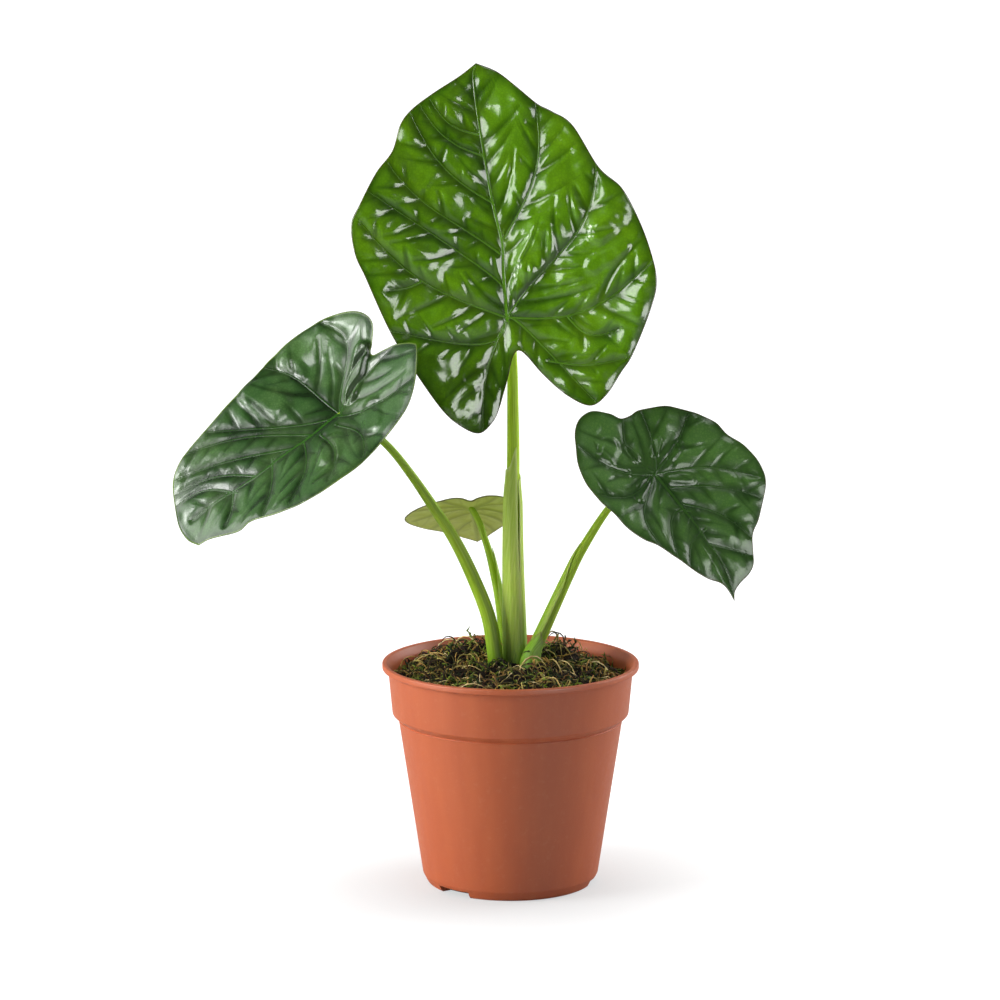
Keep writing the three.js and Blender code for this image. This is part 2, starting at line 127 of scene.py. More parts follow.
# A blade grows from `at`. `tip` is the direction of its midrib and `face` that of its glossy
# side. Outline and veins are [across, along] millimetres from the attachment. A vein is
# [start, end, bow to its left, share of the way where it bows most].
BLADES = {
    "tall": {
        "at": [-1.7, -6, 266.6], "tip": [-0.12, 0.14, 0.98], "face": [0, -0.99, 0.14],
        "arch": 0.0012, "fold": 0.14, "fold_width": 16, "lobes": 0.1,
        "outline": [
            [0, 119], [-9, 113.5], [-22, 107], [-32, 101], [-38, 94.5], [-43, 83], [-51.5, 74],
            [-60.5, 60.5], [-65.5, 52], [-65.5, 38.5], [-62, 27], [-54.5, 3], [-48, -12],
            [-35, -36.5], [-26, -46.5], [-18.5, -50], [-12, -45.5], [-8.5, -40], [-3, -27],
            [0.5, -17.5], [3.5, -14.5], [7, -17.5], [13.5, -27], [23, -37.5], [33, -43.5],
            [41, -39.5], [49, -30], [55.5, -22], [66, -2.5], [70, 10], [68.5, 25.5], [64.5, 41],
            [59, 54], [50, 64.5], [40.5, 85], [32, 92.5], [25.5, 97], [17, 106], [9, 114]],
        "midrib": [[0, 0], [1, 22], [2, 35], [0, 53], [-1, 68], [-2, 92], [-2, 112], [0, 119]],
        "veins": [
            [(4, 38), (25, 96), -6.7, 0.53], [(0, 1), (49, 65), -7.9, 0.66],
            [(2, 1), (68, 18), -9.5, 0.49], [(1, 1), (35, -41), 1.7, 0.21],
            [(28, -2), (50, -10), -5.6, 0.5], [(17, -21), (51, -24), -2.2, 0.5],
            [(-3, 86), (-22, 103), 3.3, 0.5], [(-2, 76), (-27, 101), 3.8, 0.5],
            [(0, 54), (-32, 98), 5.2, 0.5], [(0, 31), (-46, 79), 3.8, 0.64],
            [(0, 14), (-57, 67), -2.2, 0.2], [(0, 1), (-61, 52), 6.9, 0.53],
            [(-37, 22), (-52, 20), 1.1, 0.5], [(-1, -1), (-53, 1), 8.9, 0.25],
            [(-1, -1), (-17, -48), -3.6, 0.5]],
        "rings": 114, "spokes": 420, "puff": 0.14, "pillow": 0.3, "side_step": 11,
        "side_reach": (14, 50), "uneven": 0.5, "dimples": 0.16,
        "swell": 0.9, "waves": 0.4, "seed": 3,
        "swellings": [
            [(14, 24), (22, 38), 10, 1.6], [(8, 14), (11, 22), 6, 0.9],
            [(46, 34), (56, 40), 6, 0.9], [(42, 20), (56, 27), 5, 0.75],
            [(-28, -34), (-22, -31), 9, 0.9], [(-20, -24), (-16, -24), 4, 0.6]],
        "calm": [[-24, -32, 17, 0.85], [-8, -6, 9, 0.6], [-48, 16, 10, 0.6]],
    },
    "left": {
        "at": [-78.7, -15, 225.2], "tip": [-0.807, -0.193, -0.557],
        "face": [-0.339, -0.622, 0.706],
        "arch": 0.004, "fold": 0.25, "fold_width": 12, "lobes": 0.5,
        "outline": [
            [-2, 87.5], [-5.5, 81], [-16.5, 69.5], [-19, 62], [-30, 49.5], [-37.5, 37],
            [-41, 24], [-42, 9.5], [-38.5, -4.5], [-37.5, -16.5], [-34.5, -26.5],
            [-26.5, -35.5], [-14.5, -44], [-9.5, -44.5], [-0.5, -39.5], [4.5, -33],
            [8.5, -27.5], [12.5, -31], [18.5, -36.5], [25, -36.5], [32, -32.5], [39, -24.5],
            [43, -15.5], [46, -4.5], [46, 8.5], [43.5, 21], [41.5, 34], [40, 50], [39, 63.5],
            [37, 72.5], [33, 79.5], [25.5, 84.5], [14.5, 89.5], [5.5, 90]],
        "midrib": [[0, 0], [-1, 16], [0, 28], [1, 36], [2, 46], [4, 55], [8, 69], [11, 83]],
        "veins": [
            [(0, 0), (45, 15), -3.6, 0.62], [(-1, 1), (38, 53), 2.6, 0.29],
            [(-1, 16), (38, 67), -3.4, 0.5], [(1, 28), (32, 77), -1.6, 0.5],
            [(3, 48), (27, 82), -3.8, 0.5], [(4, 60), (23, 85), -4.2, 0.5],
            [(1, -1), (40, -19), -9.9, 0.68], [(-2, 0), (11, -26), 4.8, 0.5],
            [(-1, 0), (1, -35), 3.5, 0.5], [(-2, 1), (-25, -33), -1.4, 0.5],
            [(-7, 4), (-38, 5), 5.3, 0.5], [(-6, 13), (-36, 24), 5.3, 0.5],
            [(-1, 21), (-29, 43), 4.1, 0.5], [(2, 38), (-21, 56), 1.5, 0.5],
            [(4, 61), (-7, 73), 1.1, 0.5]],
        "rings": 96, "spokes": 380, "puff": 0.15, "pillow": 0.24, "side_step": 11,
        "side_reach": (12, 38), "uneven": 0.3, "dimples": 0.08,
        "swell": 0.35, "waves": 0.12, "seed": 5,
        "swellings": [
            [(44, -11), (42, -7), 16, 2.0], [(3, -9), (13, -25), 5.5, 3],
            [(38, 5), (30, 4), 6, 1.0], [(36, 26), (24, 20), 9, 1.6],
            [(-14, -12), (-24, -8), 7, 1.2], [(-22, 16), (-15, 12), 8, 1.4]],
        "calm": [],
    },
    "right": {
        "at": [66, -12, 196.5], "tip": [0.565, -0.382, -0.731], "face": [0.247, -0.767, 0.593],
        "arch": 0.004, "fold": 0.25, "fold_width": 12, "lobes": 0.1,
        "outline": [
            [0, 69], [-2.5, 65.5], [-7, 63.5], [-13, 62], [-17.5, 58.5], [-23, 48.5],
            [-30.5, 43], [-41, 32], [-44, 23.5], [-43, 13], [-39.5, 3], [-38, -5.5],
            [-33.5, -13.5], [-28, -19.5], [-20, -25.5], [-11.5, -29], [-6.5, -29], [-1.5, -30],
            [2, -34.5], [9, -39], [16, -39], [22, -35.5], [27.5, -29], [33, -19.5],
            [35.5, -10.5], [35, -1], [33.5, 7.5], [31, 17], [26, 26], [20.5, 32.5], [12.5, 46],
            [6, 54.5], [1.5, 60]],
        "midrib": [[0, 0], [-1, 13], [-2, 23], [-3, 33], [-3, 41], [-4, 50], [-3, 60], [0, 69]],
        "veins": [
            [(-1, 1), (-40, 27), 4.1, 0.5], [(-3, 10), (-36, 36), 3.0, 0.5],
            [(-4, 20), (-22, 49), 3.2, 0.5], [(-3, 41), (-18, 56), 0.4, 0.5],
            [(1, 1), (20, 32), -6.8, 0.58], [(-3, 23), (15, 39), -6.2, 0.3],
            [(-4, 35), (11, 45), -2.6, 0.5], [(0, -1), (-1, -27), 5.2, 0.5],
            [(1, 0), (27, -26), 4.5, 0.5], [(3, 1), (34, -3), 5.8, 0.5],
            [(-1, 0), (-12, -28), -2.2, 0.5], [(-1, 0), (-31, -16), -1.9, 0.5]],
        "rings": 92, "spokes": 340, "puff": 0.2, "pillow": 0.24, "side_step": 10,
        "side_reach": (12, 38), "uneven": 0.4, "dimples": 0.14,
        "swell": 0.8, "waves": 0.3, "seed": 7,
        "swellings": [
            [(12, -20), (18, -16), 6, 1.2], [(-6, -8), (-10, -12), 3, 0.9],
            [(4, -10), (5, -16), 3, 1.0], [(13, -6), (17, -9), 3.5, 0.9],
            [(8, 3), (14, 7), 4, 0.8], [(-12, -3), (-17, -5), 3.5, 0.8],
            [(-6, 6), (-12, 11), 4, 0.7]],
        "calm": [[18, 16, 9, 0.75], [11, 26, 10, 0.75]],
    },
    "rear": {
        "at": [-18.3, 22, 175.5], "tip": [0.05, 0.88, -0.47], "face": [-0.02, 0.46, 0.88],
        "arch": 0.002, "fold": -0.08, "fold_width": 8, "lobes": 0,
        "outline": [
            [0, 49], [-6, 43], [-14, 34.5], [-24, 26.5], [-31, 17], [-32, 8], [-26, -2],
            [-17, -9], [-9, -13], [-4, -12], [0, -7.5], [3, -11], [8, -15], [14, -15],
            [19, -9.5], [21.5, -1], [21.5, 9], [18, 20], [12, 31], [5, 42.5]],
        "midrib": [[0, 0], [0, 16], [0, 32], [0, 49]],
        "veins": [
            [(0, 1), (19, 14), -2, 0.5], [(0, 8), (15, 25), -2, 0.5], [(0, 18), (9, 37), -1.5, 0.5],
            [(0, 0), (24, -4), -2, 0.5], [(0, 0), (12, -14), 1.5, 0.5], [(0, 1), (-28, 14), 2, 0.5],
            [(0, 8), (-21, 28), 2, 0.5], [(0, 18), (-10, 37), 1.5, 0.5],
            [(0, 0), (-27, 0), 2, 0.5], [(0, 0), (-13, -11), -1.5, 0.5]],
        "rings": 54, "spokes": 260, "puff": 0.06, "pillow": 0.06, "side_step": 8,
        "side_reach": (12, 38), "uneven": 0, "dimples": 0.05,
        "swell": 0.3, "waves": 0, "seed": 9, "swellings": [], "calm": [],
    },
}
LOBE_SOFTNESS = 12  # width of the bend where the lobes' tilt begins
CUSHION_SHARE = 0.32  # from a crease to a cushion's crown, as a share of the side veins' step

# Half width and pull of a vein, at its start and at its end. The pull says how strongly it
# draws the leaf down beside it.
MIDRIB = {"girth": (0.7, 0.3), "pull": (1.5, 0.5)}
LATERAL = {"girth": (0.42, 0.2), "pull": (1.2, 0.4)}
# A side vein's pull is drawn at random from `pull`, and `pull_left` is its share at the end.
# `sway` and `bend` are in radians, `bend` for each millimetre. `first` and `play` are shares of
# the step between two veins, and `halfway` is one of the way back to the vein that it left.
SIDE_VEIN = {
    "girth": (0.3, 0.16), "pull": (0.3, 1.4), "pull_left": 0.04, "slant": math.radians(52),
    "sway": 0.18, "bend": (0.008, 0.02), "first": 0.7, "play": 0.25, "meeting_gap": 2.2,
    "margin_gap": 1.5, "halfway": 0.35, "fewest_points": 5,
}
PUFF_WIDTH = 12  # the broad swelling has half of its full height this far from a main vein
VEIN_SOFTNESS = 0.9
EDGE_SOFTNESS = 1.6
VALLEY_DEPTH = 0.6  # the valleys lie this far under the blade's plane
RIB_DEPTH = 1.5  # of a rib under a main vein, for each millimetre of the vein's half width
BOSS = {"depth": 1.6, "radius": 3.5}
MARGIN_THICKNESS = 0.35
BLADE_THICKNESS = 0.6

# A stalk ends `under` the blade and `back` from its attachment, and then runs out along the rib.
STALK_END = {"under": 1.2, "back": 1.5, "run": 7, "run_under": 1.6, "diameter": 0.7}
WRAP_EDGE = {"width": 1.6, "thinning": 0.65}  # a sheath thins out by this share near its edges
LEAF_GLOW = (0.6, 1.0, 0.2)  # how far red, green and blue light spread in stalks and sheaths

# The moss mat. A mound is [x, y, height, square of its width], a fade runs from 0 to 1
# between two distances, and strands keep off the stalks that pass `stalk_levels`.
MOSS = {
    "radius": 55.5, "middle": 14.5, "edge": 5.5, "sunk": 2.0, "bed_radius": 55.0,
    "room_radius": 54.9, "wall_fade": (54.8, 51), "stalk_fade": (3.5, 6),
    "stalk_levels": (98, 112), "mounds": [(-23, 14, 7, 170), (24, 16, 6.5, 90)],
}

# ---------------------------------------------------------------- helpers


def linear(colour):
    """The linear RGBA of an sRGB hex colour."""
    parts = [int(colour[i:i + 2], 16) / 255 for i in (1, 3, 5)]
    return tuple(p / 12.92 if p <= 0.04045 else ((p + 0.055) / 1.055) ** 2.4 for p in parts) + (1,)


def add(tree, kind, inputs=None, stops=None, **settings):
    """A new node with its settings. An input, found by its name or number, takes a value, a
    socket, or a node's first output. Only sockets that the settings leave in use are taken."""
    node = tree.nodes.new(kind)
    for name, value in settings.items():
        setattr(node, name, value)
    for place, colour in stops or []:
        element = node.color_ramp.elements.new(place)
        element.color = linear(colour)
    if stops:
        for _ in range(2):
            node.color_ramp.elements.remove(min(node.color_ramp.elements, key=is_no_default_stop))
    for key, value in (inputs or {}).items():
        socket = node.inputs[key] if isinstance(key, int) else in_use(node.inputs, key)
        if isinstance(value, bpy.types.Node):
            value = in_use(value.outputs)
        if isinstance(value, bpy.types.NodeSocket):
            tree.links.new(value, socket)
        else:
            socket.default_value = value
    return node


def in_use(sockets, name=None):
    """The first socket in use, of that name if one is given."""
    return next(s for s in sockets if s.enabled and name in (None, s.name))


def is_no_default_stop(element):
    """False, so sorted first, for the plain black or white stop that a new ramp starts with."""
    return tuple(element.color) not in ((0, 0, 0, 1), (1, 1, 1, 1))


def new_material(name):
    """A material with an empty node tree."""
    material = bpy.data.materials.new(name)
    material.use_nodes = True
    material.node_tree.nodes.clear()
    return material, material.node_tree


def finish_material(tree, looks, relief=None, distance=MM, strength=1):
    """The end of a material: a relief, `distance` high, under the shader with these looks."""
    if relief is not None:
        looks["Normal"] = add(tree, "ShaderNodeBump", {
            "Height": relief, "Distance": distance, "Strength": strength})
    shader = add(tree, "ShaderNodeBsdfPrincipled", looks)
    add(tree, "ShaderNodeOutputMaterial", {"Surface": shader})


def unit(vector):
    """The vector at length 1."""
    vector = np.asarray(vector, float)
    return vector / np.linalg.norm(vector)


def smooth_path(points, per_span=12):
    """Points on the smooth curve through `points`, with `per_span` steps between two of them."""
    points = np.asarray(points, float)
    padded = np.vstack([2 * points[0] - points[1], points, 2 * points[-1] - points[-2]])
    place = np.arange((len(points) - 1) * per_span + 1) / per_span
    span = np.minimum(place.astype(int), len(points) - 2)
    t = (place - span)[:, None]
    a, b, c, d = (padded[span + i] for i in range(4))
    return 0.5 * (2 * b + (c - a) * t + (2 * a - 5 * b + 4 * c - d) * t**2
                  + (3 * b - 3 * c + d - a) * t**3)


def evenly(path, step=None, count=None):
    """The same path with its points evenly spaced."""
    steps = np.linalg.norm(np.diff(path, axis=0), axis=1)
    lengths = np.concatenate([[0], np.cumsum(steps)])
    count = count or max(2, round(lengths[-1] / step) + 1)
    places = np.linspace(0, lengths[-1], count)
    return np.column_stack([np.interp(places, lengths, column) for column in path.T])


def smoothstep(low, high, value):
    """0 up to `low`, 1 from `high` on, and a smooth rise between them."""
    t = np.clip((value - low) / (high - low), 0, 1)
    return t * t * (3 - 2 * t)


def soft(value, width):
    """The plain size of a value, rounded off where it is less than about `width`."""
    return np.hypot(value, width) - width


def grid_quads(rows, columns, closed=True):
    """Quads between neighbouring rows of points; a closed grid joins its ends."""
    i = np.arange(rows - 1)[:, None] * columns
    j = np.arange(columns if closed else columns - 1)
    k = (j + 1) % columns
    quads = np.stack([i + j, i + columns + j, i + columns + k, i + k], axis=-1)
    return quads.reshape(-1, 4)


def new_object(name, mesh):
    """An object of the scene with this mesh, light or camera."""
    piece = bpy.data.objects.new(name, mesh)
    bpy.context.scene.collection.objects.link(piece)
    return piece


def make_piece(name, points, faces, materials, numbers=None, flat_uv=None, under=None):
    """A smooth mesh object. `numbers` are named values for each point, `flat_uv` is a UV map
    in millimetres, and the faces in `under` take the second material."""
    mesh = bpy.data.meshes.new(name)
    places = np.asarray(points, float) * MM
    mesh.from_pydata(places.tolist(), [], [list(map(int, face)) for face in faces])
    for material in materials:
        mesh.materials.append(material)
    for label, values in (numbers or {}).items():
        layer = mesh.attributes.new(label, "FLOAT", "POINT")
        layer.data.foreach_set("value", np.asarray(values, np.float32))
    if flat_uv is not None:
        corners = np.zeros(len(mesh.loops), np.int32)
        mesh.loops.foreach_get("vertex_index", corners)
        layer = mesh.uv_layers.new(name="flat")
        layer.data.foreach_set("uv", np.asarray(flat_uv, np.float32)[corners].ravel())
    if under is not None:
        mesh.polygons.foreach_set("material_index", np.asarray(under, np.int32))
    mesh.polygons.foreach_set("use_smooth", np.ones(len(mesh.polygons), bool))
    mesh.update()
    return new_object(name, mesh)


def stand_in(piece, node):
    """Puts a piece in the place of a CAD node: attaches it to the root body and hides the node."""
    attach(piece, "root")
    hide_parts(node)


def input_id(tree, name):
    """The identifier of a node group's input."""
    return next(item.identifier for item in tree.interface.items_tree
                if item.item_type == "SOCKET" and item.in_out == "INPUT" and item.name == name)


def new_group(name, inputs):
    """A geometry node group with a geometry input and output, and further named inputs."""
    tree = bpy.data.node_groups.new(name, "GeometryNodeTree")
    tree.interface.new_socket("Geometry", in_out="INPUT", socket_type="NodeSocketGeometry")
    for label, kind in inputs.items():
        tree.interface.new_socket(label, in_out="INPUT", socket_type=kind)
    tree.interface.new_socket("Geometry", in_out="OUTPUT", socket_type="NodeSocketGeometry")
    return tree


def finish_group(tree, geometry, material):
    """The end of a geometry node group: real meshes, clad in one material."""
    real = add(tree, "GeometryNodeRealizeInstances", {"Geometry": geometry})
    clad = add(tree, "GeometryNodeSetMaterial", {"Geometry": real, "Material": material})
    add(tree, "NodeGroupOutput", {"Geometry": clad})


def grown(name, source, tree, settings):
    """The plain mesh object that a node group makes from a source object."""
    modifier = source.modifiers.new(name, "NODES")
    modifier.node_group = tree
    for label, value in settings.items():
        modifier[input_id(tree, label)] = value
    mesh = plain_mesh(source)
    mesh.name = name
    source.modifiers.remove(modifier)
    return new_object(name, mesh)


def plain_mesh(source):
    """The mesh of an object with its modifiers applied."""
    evaluated = source.evaluated_get(bpy.context.evaluated_depsgraph_get())
    return bpy.data.meshes.new_from_object(evaluated)


# ---------------------------------------------------------------- veins


def vein_path(start, end, bow, at):
    """A bowed vein, sampled a millimetre apart."""
    start, end = np.array(start, float), np.array(end, float)
    chord = end - start
    left = unit([-chord[1], chord[0]])
    share = np.linspace(0, 1, 60)[:, None]
    bend = bow * np.sin(np.pi * share ** (math.log(0.5) / math.log(at)))
    return evenly(start + share * chord + bend * left, SAMPLE_STEP)


def vein_net(paths, girths, pulls):
    """Samples of many veins: place, direction, half width and how hard it pulls the leaf in."""
    net = {"place": [], "heading": [], "girth": [], "pull": []}
    for path, (wide, narrow), (strong, weak) in zip(paths, girths, pulls):
        share = np.linspace(0, 1, len(path))
        heading = np.gradient(path, axis=0)
        net["place"].append(path)
        net["heading"].append(heading / np.linalg.norm(heading, axis=1)[:, None])
        net["girth"].append(wide + (narrow - wide) * share)
        net["pull"].append(strong * (weak / strong) ** share)
    return {key: np.concatenate(value).astype(np.float32) for key, value in net.items()}


def read_net(net, places, softness):
    """For each place: the summed pull of the net, and the signed and plain distance to its
    nearest vein, with that vein's half width."""
    places = places.astype(np.float32)
    field, signed, plain, girth = (np.zeros(len(places), np.float32) for _ in range(4))
    for first in range(0, len(places), CHUNK):
        part = slice(first, first + CHUNK)
        offset = places[part][:, None, :] - net["place"][None]
        square = np.einsum("ijk,ijk->ij", offset, offset)
        field[part] = (net["pull"] / (square + softness**2)**2).sum(1)
        nearest = square.argmin(1)
        rows = np.arange(len(nearest))
        gap = offset[rows, nearest]
        heading = net["heading"][nearest]
        signed[part] = heading[:, 0] * gap[:, 1] - heading[:, 1] * gap[:, 0]
        plain[part] = np.sqrt(square[rows, nearest])
        girth[part] = net["girth"][nearest]
    return field, signed, plain, girth


def smooth_gap(pull):
    """A rounded distance to the veins: one straight vein of pull 1 gives the plain distance."""
    return (math.pi / (2 * pull * SAMPLE_STEP)) ** (1 / 3)


def side_veins(mains, margin_radius, spacing, reach, rng):
    """Thinner veins that leave the main ones at a slant and end where they meet another."""
    found = []
    for index, main in enumerate(mains):
        others = np.concatenate([m for i, m in enumerate(mains) if i != index])
        heading = np.gradient(main, axis=0)
        places = np.arange(spacing * SIDE_VEIN["first"], len(main) - 2, spacing)
        play = rng.uniform(-SIDE_VEIN["play"], SIDE_VEIN["play"], len(places))
        for place in places + play * spacing:
            start = int(np.clip(place, 1, len(main) - 2))
            for side in (-1, 1):
                slant = SIDE_VEIN["slant"] + rng.uniform(-SIDE_VEIN["sway"], SIDE_VEIN["sway"])
                turn = math.atan2(heading[start][1], heading[start][0]) + side * slant
                bend = -side * rng.uniform(*SIDE_VEIN["bend"])
                drawn = np.concatenate(found) if found else others
                path = [main[start]]
                for step in range(rng.integers(*reach)):
                    point = path[-1] + SAMPLE_STEP * np.array([math.cos(turn), math.sin(turn)])
                    turn += bend
                    own_gap, other_gap, drawn_gap = (
                        np.linalg.norm(vein - point, axis=1).min() for vein in (main, others, drawn))
                    met = step > 2 and drawn_gap < SIDE_VEIN["meeting_gap"]
                    outside = margin_radius(point) < np.hypot(*point) + SIDE_VEIN["margin_gap"]
                    if outside or met or other_gap < SIDE_VEIN["halfway"] * own_gap:
                        break
                    path.append(point)
                if len(path) > SIDE_VEIN["fewest_points"]:
                    found.append(np.array(path))
    return found


def grow_nets(blade, contour, margin, rng):
    """The nets of a blade's main veins, of its side veins and of its edge."""
    angles = np.unwrap(np.arctan2(margin[:, 1], margin[:, 0]))
    radii = np.hypot(*margin.T)

    def margin_radius(point):
        angle = math.atan2(point[1], point[0])
        angle += TURN * math.ceil((angles[0] - angle) / TURN)
        return np.interp(angle, angles, radii)

    mains = [evenly(smooth_path(blade["midrib"]), SAMPLE_STEP)]
    mains += [vein_path(*vein) for vein in blade["veins"]]
    laterals = len(mains) - 1
    main_net = vein_net(mains, [MIDRIB["girth"]] + [LATERAL["girth"]] * laterals,
                        [MIDRIB["pull"]] + [LATERAL["pull"]] * laterals)
    sides = side_veins(mains, margin_radius, blade["side_step"], blade["side_reach"], rng)
    pulls = rng.uniform(*SIDE_VEIN["pull"], len(sides))
    side_net = vein_net(sides, [SIDE_VEIN["girth"]] * len(sides),
                        [(pull, SIDE_VEIN["pull_left"] * pull) for pull in pulls])
    edge_net = vein_net([evenly(contour, SAMPLE_STEP)], [(1, 1)], [(1, 1)])
    return main_net, side_net, edge_net


# ---------------------------------------------------------------- blades


def blade_axes(blade):
    """The blade's directions across and along its plane, and out of its face."""
    along = unit(blade["tip"])
    face = np.array(blade["face"], float)
    face = unit(face - face.dot(along) * along)
    return np.cross(along, face), along, face


def blade_lift(blade, x, y):
    """How far the whole blade bends out of its plane: an arch, a fold and its lobes' tilt."""
    arch = np.where(y > 0, -0.5 * blade["arch"] * y**2, blade["lobes"] * soft(y, LOBE_SOFTNESS))
    return arch + blade["fold"] * soft(x, blade["fold_width"])


def swelling(places, start, end, radius, height):
    """A long rounded hill on the blade, between two points."""
    start, chord = np.array(start, float), np.subtract(end, start)
    share = np.clip((places - start) @ chord / chord.dot(chord), 0, 1)
    gap = np.linalg.norm(places - start - share[:, None] * chord, axis=1)
    return height * smoothstep(radius, 0.4 * radius, gap)


def quilting(blade, x, y, broad, narrow):
    """The relief between the veins, from the rounded distances to the main ones and to all."""
    crown = CUSHION_SHARE * blade["side_step"]
    flank = narrow / (1 + (narrow / crown) ** 4) ** 0.25
    # Cushions are fuller in some places, and each is dimpled, in waves of about 35 and 13 mm.
    fuller = np.sin(x / 5.1 + 1.3 * np.sin(y / 7.3)) * np.sin(y / 5.7 + 1.1 * np.sin(x / 6.1))
    dimpled = np.sin(x / 1.9 + 1.7 * np.sin(y / 3.1)) * np.sin(y / 2.3 + 1.4 * np.sin(x / 2.9))
    pillow = blade["pillow"] * (1 + blade["uneven"] * fuller)
    for across, along, radius, calm in blade["calm"]:
        pillow = pillow * (1 - calm * np.exp(-((x - across)**2 + (y - along)**2) / radius**2))
    return (blade["puff"] * broad / (1 + broad / PUFF_WIDTH) + pillow * flank
            + blade["dimples"] * dimpled * smoothstep(0.6, 4, narrow))


def undulation(blade, x, y, spoke, reach, vein_gap, rng):
    """The blade's slow waves, away from its main veins, and the ripple of its margin."""
    phases = rng.uniform(0, TURN, 6)
    swell = (np.sin(x / 11 + phases[0]) * np.cos(y / 13 + phases[1])
             + 0.6 * np.sin(x / 6.3 - y / 8.1 + phases[2]))
    ripple = (np.sin(9 * spoke + phases[3]) + 0.7 * np.sin(14 * spoke + phases[4])
              + 0.5 * np.sin(23 * spoke + phases[5]))
    return (blade["swell"] * swell * smoothstep(0, 18, vein_gap + 3)
            + blade["waves"] * ripple * reach**5)


def blade_thickness(x, y, reach, girth, vein_gap):
    """Thin at the margin, with ribs under the main veins and a boss over the stalk."""
    width = RIB_DEPTH * girth
    rib = width * np.exp(-(vein_gap / (width + 0.5)) ** 2) * (1 - reach**8)
    boss = BOSS["depth"] * np.exp(-(np.hypot(x, y) / BOSS["radius"]) ** 2)
    return MARGIN_THICKNESS + (BLADE_THICKNESS - MARGIN_THICKNESS) * (1 - reach**6) + rib + boss


def plate_faces(rings, spokes):
    """The faces of a closed plate: an upper and a lower sheet of rings round a middle point,
    joined along the rim. Also gives how many of them aren't on the lower sheet."""
    count = 1 + rings * spokes
    ring = np.arange(spokes)
    following = (ring + 1) % spokes
    fan = np.stack([np.zeros(spokes, int), 1 + ring, 1 + following], axis=1)
    quads = grid_quads(rings, spokes) + 1
    last = 1 + (rings - 1) * spokes
    edge = np.stack([last + ring, last + ring + count, last + following + count,
                     last + following], axis=1)
    upper = [*fan, *quads, *edge]
    return upper + [*(fan[:, ::-1] + count), *(quads[:, ::-1] + count)], len(upper)


def make_blade(name, blade, upper, lower, node):
    """A leaf blade: an upper sheet with its relief over a smoother lower one."""
    rng = np.random.default_rng(blade["seed"])
    rings, spokes = blade["rings"], blade["spokes"]
    contour = smooth_path(blade["outline"] + blade["outline"][:1])
    margin = evenly(contour, count=spokes + 1)[:-1]
    main_net, side_net, edge_net = grow_nets(blade, contour, margin, rng)

    # The rings stand closer together towards the margin.
    share = (np.arange(1, rings + 1) / rings) ** 0.85
    flat = np.vstack([[[0, 0]], (share[:, None, None] * margin[None]).reshape(-1, 2)])
    reach = np.concatenate([[0], np.repeat(share, spokes)])
    spoke = np.concatenate([[0], np.tile(np.arange(spokes) / spokes, rings)]) * TURN
    x, y = flat.T
    pull_main, vein, vein_gap, girth = read_net(main_net, flat, VEIN_SOFTNESS)
    pull_side, side, side_gap, _ = read_net(side_net, flat, VEIN_SOFTNESS)
    pull_edge, _, edge_gap, _ = read_net(edge_net, flat, EDGE_SOFTNESS)
    broad = smooth_gap(pull_main + pull_edge)
    narrow = smooth_gap(pull_main + pull_side + pull_edge)
    # How full a cushion is here: it sets the painted shade in the valleys and the painted light on
    # the crowns.
    full = smoothstep(0.6, 3.6, narrow) * (0.6 + 0.4 * smoothstep(1, 7, broad))

    lift = blade_lift(blade, x, y) - VALLEY_DEPTH
    hills = sum(swelling(flat, *hill) for hill in blade["swellings"])
    height = (lift + quilting(blade, x, y, broad, narrow) + hills * smoothstep(0, 2.5, broad)
              + undulation(blade, x, y, spoke, reach, vein_gap, rng))
    height = np.where(reach == 0, lift, height)
    thickness = blade_thickness(x, y, reach, girth, vein_gap)

    across, along, face = blade_axes(blade)
    plane = np.array(blade["at"]) + flat[:, :1] * across + flat[:, 1:] * along
    top = plane + height[:, None] * face
    bottom = plane + (height - thickness)[:, None] * face
    faces, lower_from = plate_faces(rings, spokes)
    numbers = {
        "full": full, "vein": vein, "vein_gap": vein_gap, "girth": girth,
        "side": side, "side_gap": side_gap, "edge_gap": edge_gap,
    }
    piece = make_piece(name, np.vstack([top, bottom]), faces, [upper, lower],
                       {label: np.tile(values, 2) for label, values in numbers.items()},
                       np.tile(flat, (2, 1)), np.arange(len(faces)) >= lower_from)
    stand_in(piece, node)


# ---------------------------------------------------------------- leaf materials


